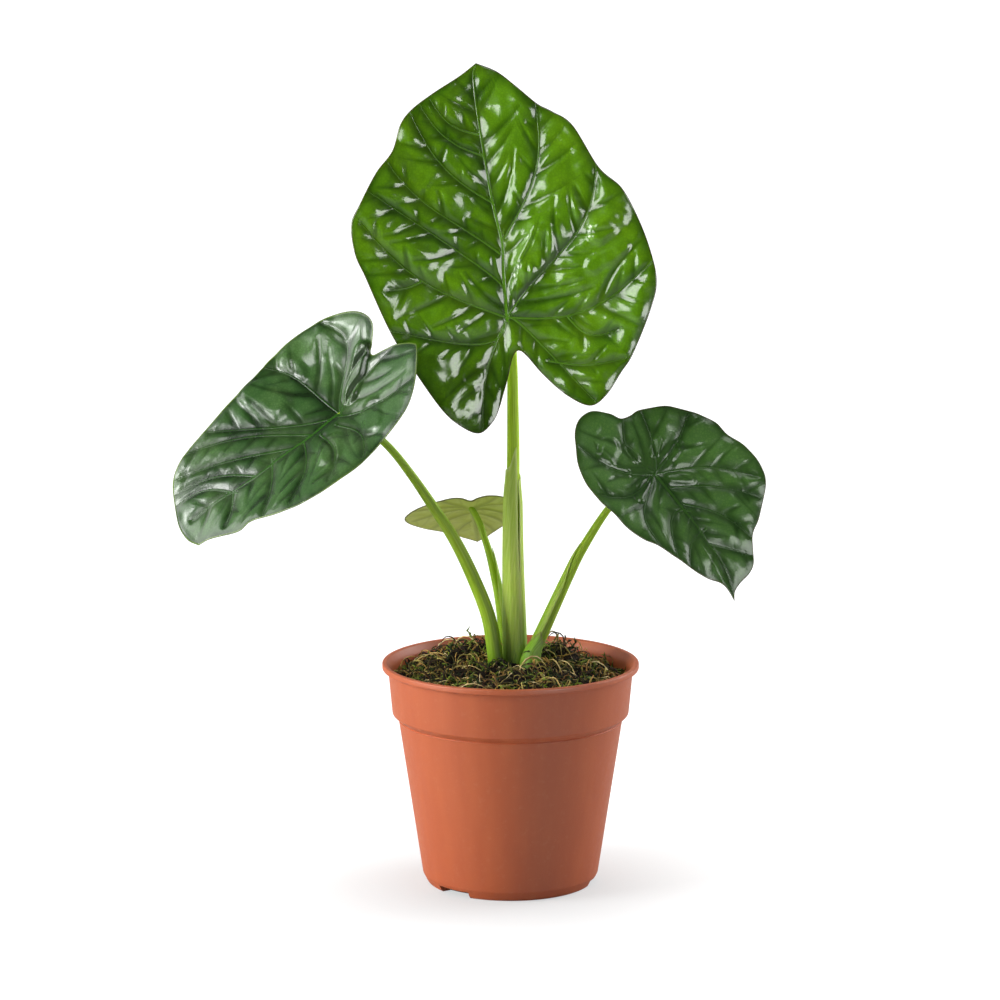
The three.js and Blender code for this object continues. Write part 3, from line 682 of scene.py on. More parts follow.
def waxy_cuticle(name, palette):
    """The upper side of a grown leaf: a thick, smooth wax over quilted green tissue. The eye sees
    sharp bright reflections; its dark valleys along the veins are painted shade, and its paler,
    fuller cushions painted light."""
    material, tree = new_material(name)
    flat = add(tree, "ShaderNodeUVMap", uv_map="flat")
    full, vein, vein_gap, girth, side, side_gap, edge_gap = (
        add(tree, "ShaderNodeAttribute", attribute_name=label).outputs["Fac"]
        for label in ("full", "vein", "vein_gap", "girth", "side", "side_gap", "edge_gap"))
    # Soft blotches about 25 mm across, and finer ones of 4 mm.
    blotches, flecks = (add(tree, "ShaderNodeTexNoise", {
        "Vector": flat, "Scale": 1 / size, "Detail": 3, "Roughness": 0.6}) for size in (25, 4))
    uneven = add(tree, "ShaderNodeMath", {0: flecks, 1: 0.3, 2: -0.15}, operation="MULTIPLY_ADD")
    fullness = add(tree, "ShaderNodeMath", {0: full, 1: uneven}, operation="ADD")
    # Painted shade darkens the valleys towards the veins, and painted light makes the fuller crowns
    # paler.
    cushion = add(tree, "ShaderNodeValToRGB", {"Fac": fullness}, stops=[
        (0, palette["valley_shade"]), (0.4, palette["flank"]), (1, palette["crown"])])
    patchy = add(tree, "ShaderNodeMapRange", {
        "Value": blotches, "From Min": 0.42, "From Max": 0.68, "To Max": 0.35})
    tissue = add(tree, "ShaderNodeMix", {
        "Factor": patchy, "A": cushion, "B": linear(palette["bright"])}, data_type="RGBA")
    # Fine net veins, about 1.5 mm from one to the next.
    net = add(tree, "ShaderNodeTexVoronoi", {"Vector": flat, "Scale": 1 / 1.5, "Randomness": 0.9},
              feature="DISTANCE_TO_EDGE")
    clear = add(tree, "ShaderNodeMapRange", {"Value": net, "From Max": 0.22, "To Min": 0.65})
    colour = add(tree, "ShaderNodeMix", {
        "Factor": clear, "A": linear(palette["net"]), "B": tissue}, data_type="RGBA")

    def line(distance, gap, half_width, reach):
        """1 on a vein and 0 beside it, kept off the places where the nearest vein changes."""
        apart = add(tree, "ShaderNodeMath", {0: distance}, operation="ABSOLUTE")
        share = add(tree, "ShaderNodeMath", {0: apart, 1: half_width}, operation="DIVIDE")
        core = add(tree, "ShaderNodeMapRange", {
            "Value": share, "From Min": 1.3, "From Max": 0.6}, interpolation_type="SMOOTHSTEP")
        near = add(tree, "ShaderNodeMath", {0: gap, 1: reach}, operation="LESS_THAN")
        return add(tree, "ShaderNodeMath", {0: core, 1: near}, operation="MULTIPLY")

    main_line = line(vein, vein_gap, girth, 2.2)
    side_line = line(side, side_gap, SIDE_VEIN["girth"][0], 1.4)
    # Side veins add a little painted shade along their creases, and thin main veins are fainter than
    # the midrib.
    side_crease_shade = add(tree, "ShaderNodeMath", {0: side_line, 1: 0.15}, operation="MULTIPLY")
    strength = add(tree, "ShaderNodeMapRange", {
        "Value": girth, "From Min": 0.15, "From Max": 0.6, "To Min": 0.15, "To Max": 0.9})
    drawn = add(tree, "ShaderNodeMath", {0: main_line, 1: strength}, operation="MULTIPLY")
    rim = add(tree, "ShaderNodeMapRange", {
        "Value": edge_gap, "From Min": 0.25, "From Max": 0.8, "To Min": 0.8, "To Max": 0})
    for cover, paint in ((side_crease_shade, "valley_shade"), (drawn, "vein"), (rim, "margin")):
        colour = add(tree, "ShaderNodeMix", {
            "Factor": cover, "A": colour, "B": linear(palette[paint])}, data_type="RGBA")
    # Relief in millimetres: raised veins, sunken net veins, and fine ribs 1.4 mm apart that
    # fade out beside the side veins, all on a slightly uneven wax.
    raised = add(tree, "ShaderNodeMath", {0: main_line, 1: 0.14}, operation="MULTIPLY")
    turns = add(tree, "ShaderNodeMath", {0: side_gap, 1: TURN / 1.4}, operation="MULTIPLY")
    wave = add(tree, "ShaderNodeMath", {0: turns}, operation="SINE")
    height = add(tree, "ShaderNodeMapRange", {
        "Value": side_gap, "From Min": 1.5, "From Max": 4, "To Min": 0.008, "To Max": 0})
    relief = raised
    for pattern, depth in ((clear, 0.012), (wave, height), (flecks, 0.04)):
        relief = add(tree, "ShaderNodeMath", {0: pattern, 1: depth, 2: relief},
                     operation="MULTIPLY_ADD")
    dull = add(tree, "ShaderNodeMapRange", {
        "Value": flecks, "From Min": 0.3, "From Max": 0.7, "To Min": palette["gloss"],
        "To Max": palette["gloss"] + 0.1})
    finish_material(tree, {"Base Color": colour, "Roughness": dull, "IOR": 1.48,
                           "Specular IOR Level": palette["shine"]}, relief)
    return material


def leaf_underside(name, palette):
    """The lower side of a leaf: matt, paler tissue with standing veins. The eye sees an even
    grey-green with lighter ribs and hardly any shine."""
    material, tree = new_material(name)
    flat = add(tree, "ShaderNodeUVMap", uv_map="flat")
    vein_gap, side_gap, edge_gap = (
        add(tree, "ShaderNodeAttribute", attribute_name=label).outputs["Fac"]
        for label in ("vein_gap", "side_gap", "edge_gap"))
    # Clouds about 9 mm across.
    clouds = add(tree, "ShaderNodeTexNoise", {"Vector": flat, "Scale": 1 / 9, "Detail": 5})
    colour = add(tree, "ShaderNodeValToRGB", {"Fac": clouds}, stops=[
        (0.35, palette["under"]), (0.7, palette["under_light"])])
    ribs = add(tree, "ShaderNodeMapRange", {
        "Value": vein_gap, "From Min": 0.5, "From Max": 2, "To Min": 0.9, "To Max": 0})
    twigs = add(tree, "ShaderNodeMapRange", {
        "Value": side_gap, "From Min": 0.2, "From Max": 1, "To Min": 0.4, "To Max": 0})
    veins = add(tree, "ShaderNodeMath", {0: ribs, 1: twigs}, operation="MAXIMUM")
    rim = add(tree, "ShaderNodeMapRange", {
        "Value": edge_gap, "From Min": 0.35, "From Max": 0.9, "To Min": 1, "To Max": 0})
    for cover, paint in ((veins, "under_vein"), (rim, "margin")):
        colour = add(tree, "ShaderNodeMix", {
            "Factor": cover, "A": colour, "B": linear(palette[paint])}, data_type="RGBA")
    # Net veins 1.5 mm apart stand out.
    net = add(tree, "ShaderNodeTexVoronoi", {"Vector": flat, "Scale": 1 / 1.5},
              feature="DISTANCE_TO_EDGE")
    relief = add(tree, "ShaderNodeMath", {0: net, 1: -0.12}, operation="MULTIPLY")
    finish_material(tree, {"Base Color": colour, "Roughness": 0.6, "IOR": 1.42,
                           "Specular IOR Level": 0.3}, relief)
    return material


# In each palette the first three colours run from painted shade in the valleys to painted light on
# the cushions' crowns.
PALETTES = {
    "tall": {
        "valley_shade": "#264800", "flank": "#427004", "crown": "#62980e", "bright": "#82b40e",
        "net": "#447004", "vein": "#64a01c", "margin": "#4a3f14", "gloss": 0.1, "shine": 0.7,
        "under": "#7d9a4c", "under_light": "#8fab5c", "under_vein": "#a8bf70"},
    "left": {
        "valley_shade": "#0d2206", "flank": "#203e15", "crown": "#3b602d", "bright": "#6c944e",
        "net": "#223f18", "vein": "#2f6014", "margin": "#6f8a34", "gloss": 0.16, "shine": 0.6,
        "under": "#6f8a58", "under_light": "#819b66", "under_vein": "#9db47a"},
    "right": {
        "valley_shade": "#1f420e", "flank": "#3a6022", "crown": "#5a873e", "bright": "#6c9c46",
        "net": "#38602a", "vein": "#3c6c1c", "margin": "#55562a", "gloss": 0.18, "shine": 0.42,
        "under": "#6f8a58", "under_light": "#819b66", "under_vein": "#9db47a"},
    "rear": {
        "valley_shade": "#3f6a1c", "flank": "#588832", "crown": "#6e9c44", "bright": "#7fae4c",
        "net": "#4f7a2c", "vein": "#86ad58", "margin": "#6a6a32", "gloss": 0.35, "shine": 0.4,
        # The rear leaf's underside colours are painted light: far paler than the other undersides,
        # for the light that shines through the leaf.
        "under": "#c8d660", "under_light": "#dae680", "under_vein": "#b4c25c"},
}

# ---------------------------------------------------------------- stalks


def stalk_skin(name, dark, middle, pale):
    """The skin of a leaf stalk: smooth, juicy and faintly lined. The eye sees fine pale and
    dark streaks along it and a soft wax shine."""
    material, tree = new_material(name)
    ring = add(tree, "ShaderNodeAttribute", attribute_name="ring").outputs["Vector"]
    along = add(tree, "ShaderNodeAttribute", attribute_name="along").outputs["Fac"]
    place = add(tree, "ShaderNodeCombineXYZ", {"Z": along})
    # A streak is about 0.8 mm wide and 35 mm long: the ring is about 3 mm in radius.
    spot = add(tree, "ShaderNodeVectorMath", {0: ring, 1: (3, 3, 3), 2: place},
               operation="MULTIPLY_ADD")
    stretched = add(tree, "ShaderNodeMapping", {"Vector": spot, "Scale": (1, 1, 1 / 45)})
    streaks = add(tree, "ShaderNodeTexNoise", {
        "Vector": stretched, "Scale": 1.3, "Detail": 4, "Roughness": 0.6})
    colour = add(tree, "ShaderNodeValToRGB", {"Fac": streaks}, stops=[
        (0.3, dark), (0.5, middle), (0.72, pale)])
    # The foot, under and just over the moss, is darker.
    foot = add(tree, "ShaderNodeMapRange", {
        "Value": along, "From Min": 12, "From Max": 45, "To Min": 0.75, "To Max": 0})
    shaded = add(tree, "ShaderNodeMix", {"Factor": foot, "A": colour, "B": linear("#5c8614")},
                 data_type="RGBA")
    relief = add(tree, "ShaderNodeMath", {0: streaks, 1: 0.5}, operation="MULTIPLY")
    finish_material(tree, {
        "Base Color": shaded, "Roughness": 0.45, "IOR": 1.42, "Specular IOR Level": 0.2,
        "Subsurface Weight": 0.15, "Subsurface Scale": 1.5 * MM,
        "Subsurface Radius": LEAF_GLOW}, relief, strength=0.6)
    return material


def stalk_group():
    """Sweeps a slightly ribbed round section along a path whose points carry a girth."""
    tree = new_group("swept stalk", {"Sides": "NodeSocketInt", "Rib": "NodeSocketFloat",
                                     "Skin": "NodeSocketMaterial"})
    given = add(tree, "NodeGroupInput").outputs
    path = add(tree, "GeometryNodeMeshToCurve", {"Mesh": given["Geometry"]})
    length = add(tree, "GeometryNodeSplineParameter").outputs["Length"]
    millimetres = add(tree, "ShaderNodeMath", {0: length, 1: 1 / MM}, operation="MULTIPLY")
    measured = add(tree, "GeometryNodeStoreNamedAttribute", {
        "Geometry": path, "Name": "along", "Value": millimetres})
    circle = add(tree, "GeometryNodeCurvePrimitiveCircle", {
        "Resolution": given["Sides"], "Radius": 1.0})
    place = add(tree, "GeometryNodeInputPosition")
    marked = add(tree, "GeometryNodeStoreNamedAttribute", {
        "Geometry": circle, "Name": "ring", "Value": place}, data_type="FLOAT_VECTOR")
    wobble = add(tree, "ShaderNodeTexNoise", {"Vector": place, "Scale": 1.4, "Detail": 2})
    swollen = add(tree, "ShaderNodeMath", {0: wobble, 1: given["Rib"], 2: 0.97},
                  operation="MULTIPLY_ADD")
    shaped = add(tree, "ShaderNodeVectorMath", {0: place, "Scale": swollen}, operation="SCALE")
    section = add(tree, "GeometryNodeSetPosition", {"Geometry": marked, "Position": shaped})
    girth = add(tree, "GeometryNodeInputNamedAttribute", {"Name": "girth"})
    swept = add(tree, "GeometryNodeCurveToMesh", {
        "Curve": measured, "Profile Curve": section, "Scale": girth, "Fill Caps": True})
    finish_group(tree, swept, given["Skin"])
    return tree


def stalk_route(stalk, blade):
    """The stalk's path with its radius: it slips under the blade and runs out along the rib."""
    points = np.array(stalk, float)
    _, along, face = blade_axes(blade)
    at, radius = np.array(blade["at"]), points[-1, 3] / 2
    points[-1, :3] = at - (STALK_END["under"] + radius) * face - STALK_END["back"] * along
    end = at + STALK_END["run"] * along - STALK_END["run_under"] * face
    points = np.vstack([points, [*end, STALK_END["diameter"]]])
    return evenly(smooth_path(points, 16), count=120)


def make_stalk(name, stalk, blade, tree, skin, node):
    """A leaf stalk, swept along its route with its girth."""
    route = stalk_route(stalk, blade)
    mesh = bpy.data.meshes.new("path")
    mesh.from_pydata((route[:, :3] * MM).tolist(), [(i, i + 1) for i in range(len(route) - 1)], [])
    layer = mesh.attributes.new("girth", "FLOAT", "POINT")
    layer.data.foreach_set("value", (route[:, 3] / 2 * MM).astype(np.float32))
    path = new_object("path", mesh)
    piece = grown(name, path, tree, {"Sides": 40, "Rib": 0.06, "Skin": skin})
    bpy.data.objects.remove(path)
    piece.data.polygons.foreach_set("use_smooth", np.ones(len(piece.data.polygons), bool))
    stand_in(piece, node)


# ---------------------------------------------------------------- sheaths


def sheath_skin(name, edge, pale, middle, dark):
    """The skin of a stalk's sheath: thin, dry and striped along. The eye sees pale green with
    fine darker lines, almost white at its free edges."""
    material, tree = new_material(name)
    flat = add(tree, "ShaderNodeUVMap", uv_map="flat")
    # Lines about 0.8 mm apart round the sheath, and 30 times as long.
    stretched = add(tree, "ShaderNodeMapping", {"Vector": flat, "Scale": (1 / 0.8, 1 / 24, 1)})
    lines = add(tree, "ShaderNodeTexNoise", {
        "Vector": stretched, "Scale": 1, "Detail": 4, "Roughness": 0.6})
    colour = add(tree, "ShaderNodeValToRGB", {"Fac": lines}, stops=[
        (0.3, dark), (0.5, middle), (0.7, pale)])
    thin = add(tree, "ShaderNodeAttribute", attribute_name="thin").outputs["Fac"]
    # The foot is darker, up to 138 mm over the ground.
    rise = add(tree, "ShaderNodeSeparateXYZ", {"Vector": flat}).outputs["Y"]
    foot = add(tree, "ShaderNodeMapRange", {
        "Value": rise, "From Min": 104, "From Max": 138, "To Min": 0.75, "To Max": 0})
    for cover, paint in ((thin, edge), (foot, "#5c861e")):
        colour = add(tree, "ShaderNodeMix", {"Factor": cover, "A": colour, "B": linear(paint)},
                     data_type="RGBA")
    relief = add(tree, "ShaderNodeMath", {0: lines, 1: 0.25}, operation="MULTIPLY")
    finish_material(tree, {
        "Base Color": colour, "Roughness": 0.48, "IOR": 1.42, "Specular IOR Level": 0.3,
        "Subsurface Weight": 0.15, "Subsurface Scale": MM, "Subsurface Radius": LEAF_GLOW},
        relief, strength=0.8)
    return material


def smooth_rim(share, shares, heights):
    """The rim's height at each share of the way round, with its corners softened."""
    samples, width = 401, 37
    fine = np.linspace(0, 1, samples)
    sharp = np.pad(np.interp(fine, shares, heights), width // 2, mode="edge")
    window = np.hanning(width)
    return np.interp(share, fine, np.convolve(sharp, window / window.sum(), "valid"))


def make_wrap(name, stalk, wrap, skin, node):
    """A thin wall round a stalk, open along a slit, that thins out towards its free edges."""
    sides, levels = wrap["sides"], wrap["levels"]
    share, level = np.meshgrid(np.linspace(0, 1, sides + 1), np.linspace(0, 1, levels + 1))
    rim = smooth_rim(share, *np.array(wrap["rim"], float).T)
    z = wrap["from_z"] + (rim - wrap["from_z"]) * level
    rise = np.clip((z - wrap["from_z"]) / (wrap["top_z"] - wrap["from_z"]), 0, 1)
    outer = (wrap["foot_diameter"] + (wrap["top_diameter"] - wrap["foot_diameter"]) * rise) / 2
    # The slit closes towards the foot, by the share `closing`.
    slit = wrap["slit_angle"] * (1 - wrap["closing"] * smoothstep(0.85, 0.45, level))
    turn = slit / 2 + (360 - slit) * share
    angle = np.radians(wrap["slit_azimuth"] + turn)
    ribs = 0.05 * np.sin(26 * angle) + 0.08 * np.sin(11 * angle + 0.02 * z)
    outer = outer - wrap["hug"] * smoothstep(wrap["hug_height"], 0, rim - z)
    around = outer * np.radians(turn - slit / 2)
    from_slit = np.minimum(around, outer * np.radians(360 - slit) - around)
    thin = 1 - smoothstep(0, WRAP_EDGE["width"], np.minimum(from_slit, (rim - z) * 0.5))
    wall = wrap["wall"] * (1 - WRAP_EDGE["thinning"] * thin)

    centre_line = smooth_path(np.array(stalk, float)[:, :3], 40)
    centre = [np.interp(z, centre_line[:, 2], centre_line[:, i]) for i in (0, 1)]
    outside = outer + ribs - 0.1
    grids = [np.stack([centre[0] + radius * np.cos(angle), centre[1] + radius * np.sin(angle), z],
                      axis=-1).reshape(-1, 3) for radius in (outside, outside - wall)]
    columns, count = sides + 1, len(grids[0])
    quads = grid_quads(levels + 1, columns, closed=False)
    side, low = np.arange(sides), np.arange(levels) * columns
    foot = np.stack([side, side + 1, side + 1 + count, side + count], axis=1)
    top = foot[:, ::-1] + levels * columns
    start = np.stack([low, low + count, low + columns + count, low + columns], axis=1)
    end = start[:, ::-1] + sides
    faces = [*quads[:, ::-1], *(quads + count), *foot[:, ::-1], *top[:, ::-1], *start[:, ::-1],
             *end[:, ::-1]]
    flat = np.tile(np.stack([around.ravel(), z.ravel()], axis=1), (2, 1))
    piece = make_piece(name, np.vstack(grids), faces, [skin], {"thin": np.tile(thin.ravel(), 2)},
                       flat)
    stand_in(piece, node)


# ---------------------------------------------------------------- pot


def pot_plastic():
    """Injection-moulded polypropylene in terracotta colour: satin, with faint flow marks and
    a fine orange-peel skin. The eye sees a broad, soft shine and slight cloudiness."""
    material, tree = new_material("moulded_polypropylene")
    place = add(tree, "ShaderNodeTexCoord").outputs["Object"]
    # Flow marks rise up the wall: about 8 mm wide and 60 mm tall.
    stretched = add(tree, "ShaderNodeMapping", {"Vector": place, "Scale": (1, 1, 0.14)})
    flow = add(tree, "ShaderNodeTexNoise", {
        "Vector": stretched, "Scale": 1 / (8 * MM), "Detail": 3})
    colour = add(tree, "ShaderNodeValToRGB", {"Fac": flow}, stops=[
        (0.3, "#b6582f"), (0.7, "#bc5e33")])
    # Dust in spots of about 3 mm.
    dust = add(tree, "ShaderNodeTexNoise", {
        "Vector": place, "Scale": 1 / (3 * MM), "Detail": 6, "Roughness": 0.7})
    dusty = add(tree, "ShaderNodeMapRange", {
        "Value": dust, "From Min": 0.55, "From Max": 0.8, "To Max": 0.25})
    dulled = add(tree, "ShaderNodeMix", {"Factor": dusty, "A": colour, "B": linear("#cd8460")},
                 data_type="RGBA")
    rough = add(tree, "ShaderNodeMapRange", {
        "Value": dust, "From Min": 0.35, "From Max": 0.7, "To Min": 0.42, "To Max": 0.54})
    # The orange peel has bumps 0.9 mm across.
    peel = add(tree, "ShaderNodeTexNoise", {"Vector": place, "Scale": 1 / (0.9 * MM), "Detail": 2})
    relief = add(tree, "ShaderNodeMath", {0: flow, 1: peel}, operation="ADD")
    finish_material(tree, {"Base Color": dulled, "Roughness": rough, "IOR": 1.49,
                           "Specular IOR Level": 0.5}, relief, 0.05 * MM, 0.6)
    return material


def rounded_profile(corners, steps=6):
    """A profile of [radius, z, rounding] corners, each rounded by a short arc-like curve."""
    points = []
    places = np.array([corner[:2] for corner in corners], float)
    for i, (_, _, rounding) in enumerate(corners):
        here = places[i]
        if rounding == 0:
            points.append(here)
            continue
        start, end = (here + unit(side) * min(rounding, np.linalg.norm(side) / 2.2)
                      for side in (places[i - 1] - here, places[i + 1] - here))
        for t in np.linspace(0, 1, steps):
            points.append((1 - t)**2 * start + 2 * t * (1 - t) * here + t**2 * end)
    return np.array(points)


def turned_faces(rows, columns):
    """Faces of a closed lathe whose first and last rows are single points on the axis."""
    ring = np.arange(columns)
    inner = grid_quads(rows - 2, columns) + 1
    first = np.stack([np.zeros(columns, int), 1 + ring, 1 + (ring + 1) % columns], axis=1)
    base, last = 1 + (rows - 3) * columns, 1 + (rows - 2) * columns
    final = np.stack([np.full(columns, last), base + (ring + 1) % columns, base + ring], axis=1)
    return [*first[:, ::-1], *inner[:, ::-1], *final[:, ::-1]]


def pot_profile(p):
    """The pot's section, from the middle of its foot up the outside and down the inside."""
    lip_foot = p["height"] - p["lip_height"]
    heel, shoulder, bead = p["heel_radius"], p["shoulder_radius"], p["bead"]
    inner = [(p["collar_top_radius"], lip_foot - p["step"]),
             (p["collar_foot_radius"], p["collar_foot_z"] + p["step"]),
             (shoulder, p["shoulder_z"] + p["step"])]
    return rounded_profile([
        (0, 0, 0), (p["foot_radius"] - 0.8, 0, 0.6), (p["foot_radius"], 0.8, 0.5),
        (heel - 0.25, p["heel_z"] - 0.3, 0.5), (heel, p["heel_z"] + 0.3, 0.5),
        (shoulder - 0.05, p["shoulder_z"] - 3 * bead, 0.3),
        (shoulder + bead, p["shoulder_z"] - bead, 0.25),
        (shoulder - bead, p["shoulder_z"] + 0.5 * bead, 0.15),
        (p["collar_foot_radius"], p["collar_foot_z"], 0.6),
        (p["collar_top_radius"], lip_foot, 0.25), (p["lip_radius"], lip_foot, 0.6),
        (p["lip_radius"], p["height"], 0.8), (p["collar_top_radius"] + 0.4, p["height"], 0.7),
        *((radius - p["wall"], z, 1.5) for radius, z in inner),
        (p["foot_radius"], p["floor"], 0.4), (0, p["floor"], 0)])


def make_pot(plastic):
    """The pot, turned from its section, with the drain notches cut out of its foot."""
    profile = pot_profile(POT)
    angle = np.arange(POT["segments"]) / POT["segments"] * TURN
    rings = profile[1:-1]
    body = np.stack([rings[:, :1] * np.cos(angle), rings[:, :1] * np.sin(angle),
                     np.repeat(rings[:, 1:], POT["segments"], axis=1)], axis=-1).reshape(-1, 3)
    points = np.vstack([[[0, 0, profile[0, 1]]], body, [[0, 0, profile[-1, 1]]]])
    pot = make_piece("nursery_pot_moulded", points, turned_faces(len(profile), POT["segments"]),
                     [plastic])
    cutters = [make_notch_cutter(azimuth) for azimuth in NOTCH["azimuths"]]
    for cutter in cutters:
        cut = pot.modifiers.new("notch", "BOOLEAN")
        cut.object = cutter
        cut.operation = "DIFFERENCE"
        cut.solver = "EXACT"
    mesh = plain_mesh(pot)
    pot.modifiers.clear()
    merge_slivers(mesh)
    pot.data = mesh
    for cutter in cutters:
        bpy.data.objects.remove(cutter)
    mesh.set_sharp_from_angle(angle=math.radians(40))
    stand_in(pot, "nursery_pot")


def make_notch_cutter(azimuth):
    """The wedge that leaves a drain notch in the foot."""
    turn = np.radians(azimuth + NOTCH["width"] * np.linspace(-0.5, 0.5, 13))
    outline = [(r * math.cos(t), r * math.sin(t)) for r, ts in
               ((NOTCH["outer"], turn), (NOTCH["inner"], turn[::-1])) for t in ts]
    count = len(outline)
    points = [(x, y, z) for z in (-1, NOTCH["height"]) for x, y in outline]
    faces = [tuple(range(count))[::-1], tuple(range(count, 2 * count))]
    faces += [(i, (i + 1) % count, (i + 1) % count + count, i + count) for i in range(count)]
    return make_piece("cutter", points, faces, [])


def merge_slivers(mesh):
    """Merges the slivers, a few micrometres wide, that the cuts leave along their edges."""
    cleaned = bmesh.new()
    cleaned.from_mesh(mesh)
    bmesh.ops.remove_doubles(cleaned, verts=cleaned.verts[:], dist=0.002 * MM)
    bmesh.ops.dissolve_degenerate(cleaned, dist=0.001 * MM, edges=cleaned.edges[:])
    bmesh.ops.triangulate(cleaned, faces=[face for face in cleaned.faces if len(face.verts) > 4])
    cleaned.to_mesh(mesh)
    cleaned.free()


# ---------------------------------------------------------------- moss


def moss_top(x, y):
    """Height of the mat's surface: a dome with lumps and a few mounds."""
    reach = np.hypot(x, y) / MOSS["radius"]
    dome = MOSS["middle"] + (MOSS["edge"] - MOSS["middle"]) * reach**1.6
    lumps = np.sin(x * 0.19 + 1.3) * np.cos(y * 0.23 - 0.4) + 0.6 * np.sin(x * 0.37 - y * 0.31)
    crumbs = 0.9 * np.sin(x * 0.9 + 2 * np.sin(y * 0.5)) * np.sin(y * 0.8 - 1.1)
    mounds = sum(height * np.exp(-((x - across)**2 + (y - back)**2) / spread)
                 for across, back, height, spread in MOSS["mounds"])
    level = dome + 2.2 * lumps * np.minimum(1, 1.25 - reach) + (crumbs + mounds) * (reach < 1.2)
    return SOIL_TOP + level - MOSS["sunk"]


def crumbled_peat(name, dark, middle, light):
    """Moist peat and bark crumbs, pressed loosely: dark, matt and grainy, with lighter bits."""
    material, tree = new_material(name)
    place = add(tree, "ShaderNodeTexCoord").outputs["Object"]
    # Grains of about 2.5 mm.
    grains = add(tree, "ShaderNodeTexNoise", {
        "Vector": place, "Scale": 1 / (2.5 * MM), "Detail": 6, "Roughness": 0.75})
    colour = add(tree, "ShaderNodeValToRGB", {"Fac": grains}, stops=[
        (0.35, dark), (0.55, middle), (0.75, light)])
    finish_material(tree, {"Base Color": colour, "Roughness": 0.9, "Specular IOR Level": 0.2},
                    grains, 1.5 * MM)
    return material


def dried_strand(name, dark, middle, light):
    """Dried plant strands, each of its own shade: the eye sees a tangle of matt threads with
    light upper edges over black gaps."""
    material, tree = new_material(name)
    tint = add(tree, "ShaderNodeAttribute", attribute_name="tint").outputs["Fac"]
    place = add(tree, "ShaderNodeTexCoord").outputs["Object"]
    # Patches of about 9 mm are lighter or darker too.
    patches = add(tree, "ShaderNodeTexNoise", {"Vector": place, "Scale": 1 / (9 * MM), "Detail": 3})
    mixed = add(tree, "ShaderNodeMath", {0: tint, 1: 0.6, 2: patches}, operation="MULTIPLY_ADD")
    colour = add(tree, "ShaderNodeValToRGB", {"Fac": mixed}, stops=[
        (0.4, dark), (0.75, middle), (1, light)])
    finish_material(tree, {"Base Color": colour, "Roughness": 0.7, "Specular IOR Level": 0.3})
    return material


def make_moss_bed(peat):
    """The lumpy mat that the strands grow on. Its `room` is 0 where no strand may stand."""
    rings, spokes = 90, 240
    angle = np.arange(spokes) / spokes * TURN
    radius = np.arange(1, rings + 1)[:, None] / rings * MOSS["bed_radius"]
    x, y = (radius * np.cos(angle)).ravel(), (radius * np.sin(angle)).ravel()
    top = np.stack([x, y, moss_top(x, y)], axis=1)
    bottom = np.stack([x, y, np.full(len(x), SOIL_TOP)], axis=1)
    points = np.vstack([[[0, 0, float(moss_top(0, 0))]], top, [[0, 0, SOIL_TOP]], bottom])
    faces, _ = plate_faces(rings, spokes)
    room = smoothstep(*MOSS["wall_fade"], np.hypot(points[:, 0], points[:, 1]))
    low, high = MOSS["stalk_levels"]
    for stalk in STALKS.values():
        foot = smooth_path(np.array(stalk, float)[:4, :3])
        near = np.min([np.hypot(points[:, 0] - p[0], points[:, 1] - p[1])
                       for p in foot[(foot[:, 2] > low) & (foot[:, 2] < high)][::3]], axis=0)
        room = room * smoothstep(*MOSS["stalk_fade"], near)
    room[len(points) // 2:] = 0
    return make_piece("moss_bed", points, faces, [peat], {"room": room})


def sprig_mesh(name, rng, length, width, leaflets, start, curl):
    """A curled strand: a three-sided stem with small pointed leaflets along it. It leaves
    its root at `start` radians from upright and bends by about `curl` more."""
    steps, sides = 8, 3
    t = np.linspace(0, 1, steps + 1)
    bend = start + curl * rng.uniform(0.5, 1.3) * t**1.3
    turn = 3 * rng.uniform(-0.8, 0.8) * t
    heading = np.stack([np.sin(bend) * np.cos(turn), np.sin(bend) * np.sin(turn),
                        np.cos(bend)], axis=1)
    across = np.stack([-np.sin(turn), np.cos(turn), 0 * turn], axis=1)
    over = np.cross(across, heading)
    line = np.vstack([[0, 0, 0], np.cumsum(heading[1:] * length / steps, axis=0)])
    # The stem is thickest at about a third of its length, and thin at its end.
    radii = width / 2 * (0.55 + 1.1 * t - 1.5 * t**2)
    points, faces = [], []
    for i in range(steps + 1):
        for k in range(sides):
            a = TURN * k / sides + 0.4 * i
            points.append(line[i] + radii[i] * (math.cos(a) * over[i] + math.sin(a) * across[i]))
    for i in range(0, steps * sides, sides):
        faces += [(i + k, i + (k + 1) % sides, i + sides + (k + 1) % sides, i + sides + k)
                  for k in range(sides)]
    faces += [(2, 1, 0), tuple(steps * sides + k for k in range(sides))]
    for leaflet in range(leaflets):
        share = (leaflet + 0.5) / leaflets
        step, rest = divmod(share * steps, 1)
        centre = line[int(step)] + (line[int(step) + 1] - line[int(step)]) * rest
        azimuth = 2.4 * leaflet + rng.uniform(-0.4, 0.4)
        outward = np.array([math.cos(azimuth), math.sin(azimuth), rng.uniform(0.3, 0.9)])
        tip = centre + outward * width * rng.uniform(2.2, 3.4) * (1 - 0.4 * share)
        side = np.array([-math.sin(azimuth), math.cos(azimuth), 0]) * width * 0.45
        base = len(points)
        points += [centre + side, centre - side, centre + np.array([0, 0, width * 0.5]), tip]
        faces += [(base, base + 1, base + 2), (base + 1, base, base + 3),
                  (base + 2, base + 1, base + 3), (base, base + 2, base + 3)]
    return make_piece(name, points, faces, [])


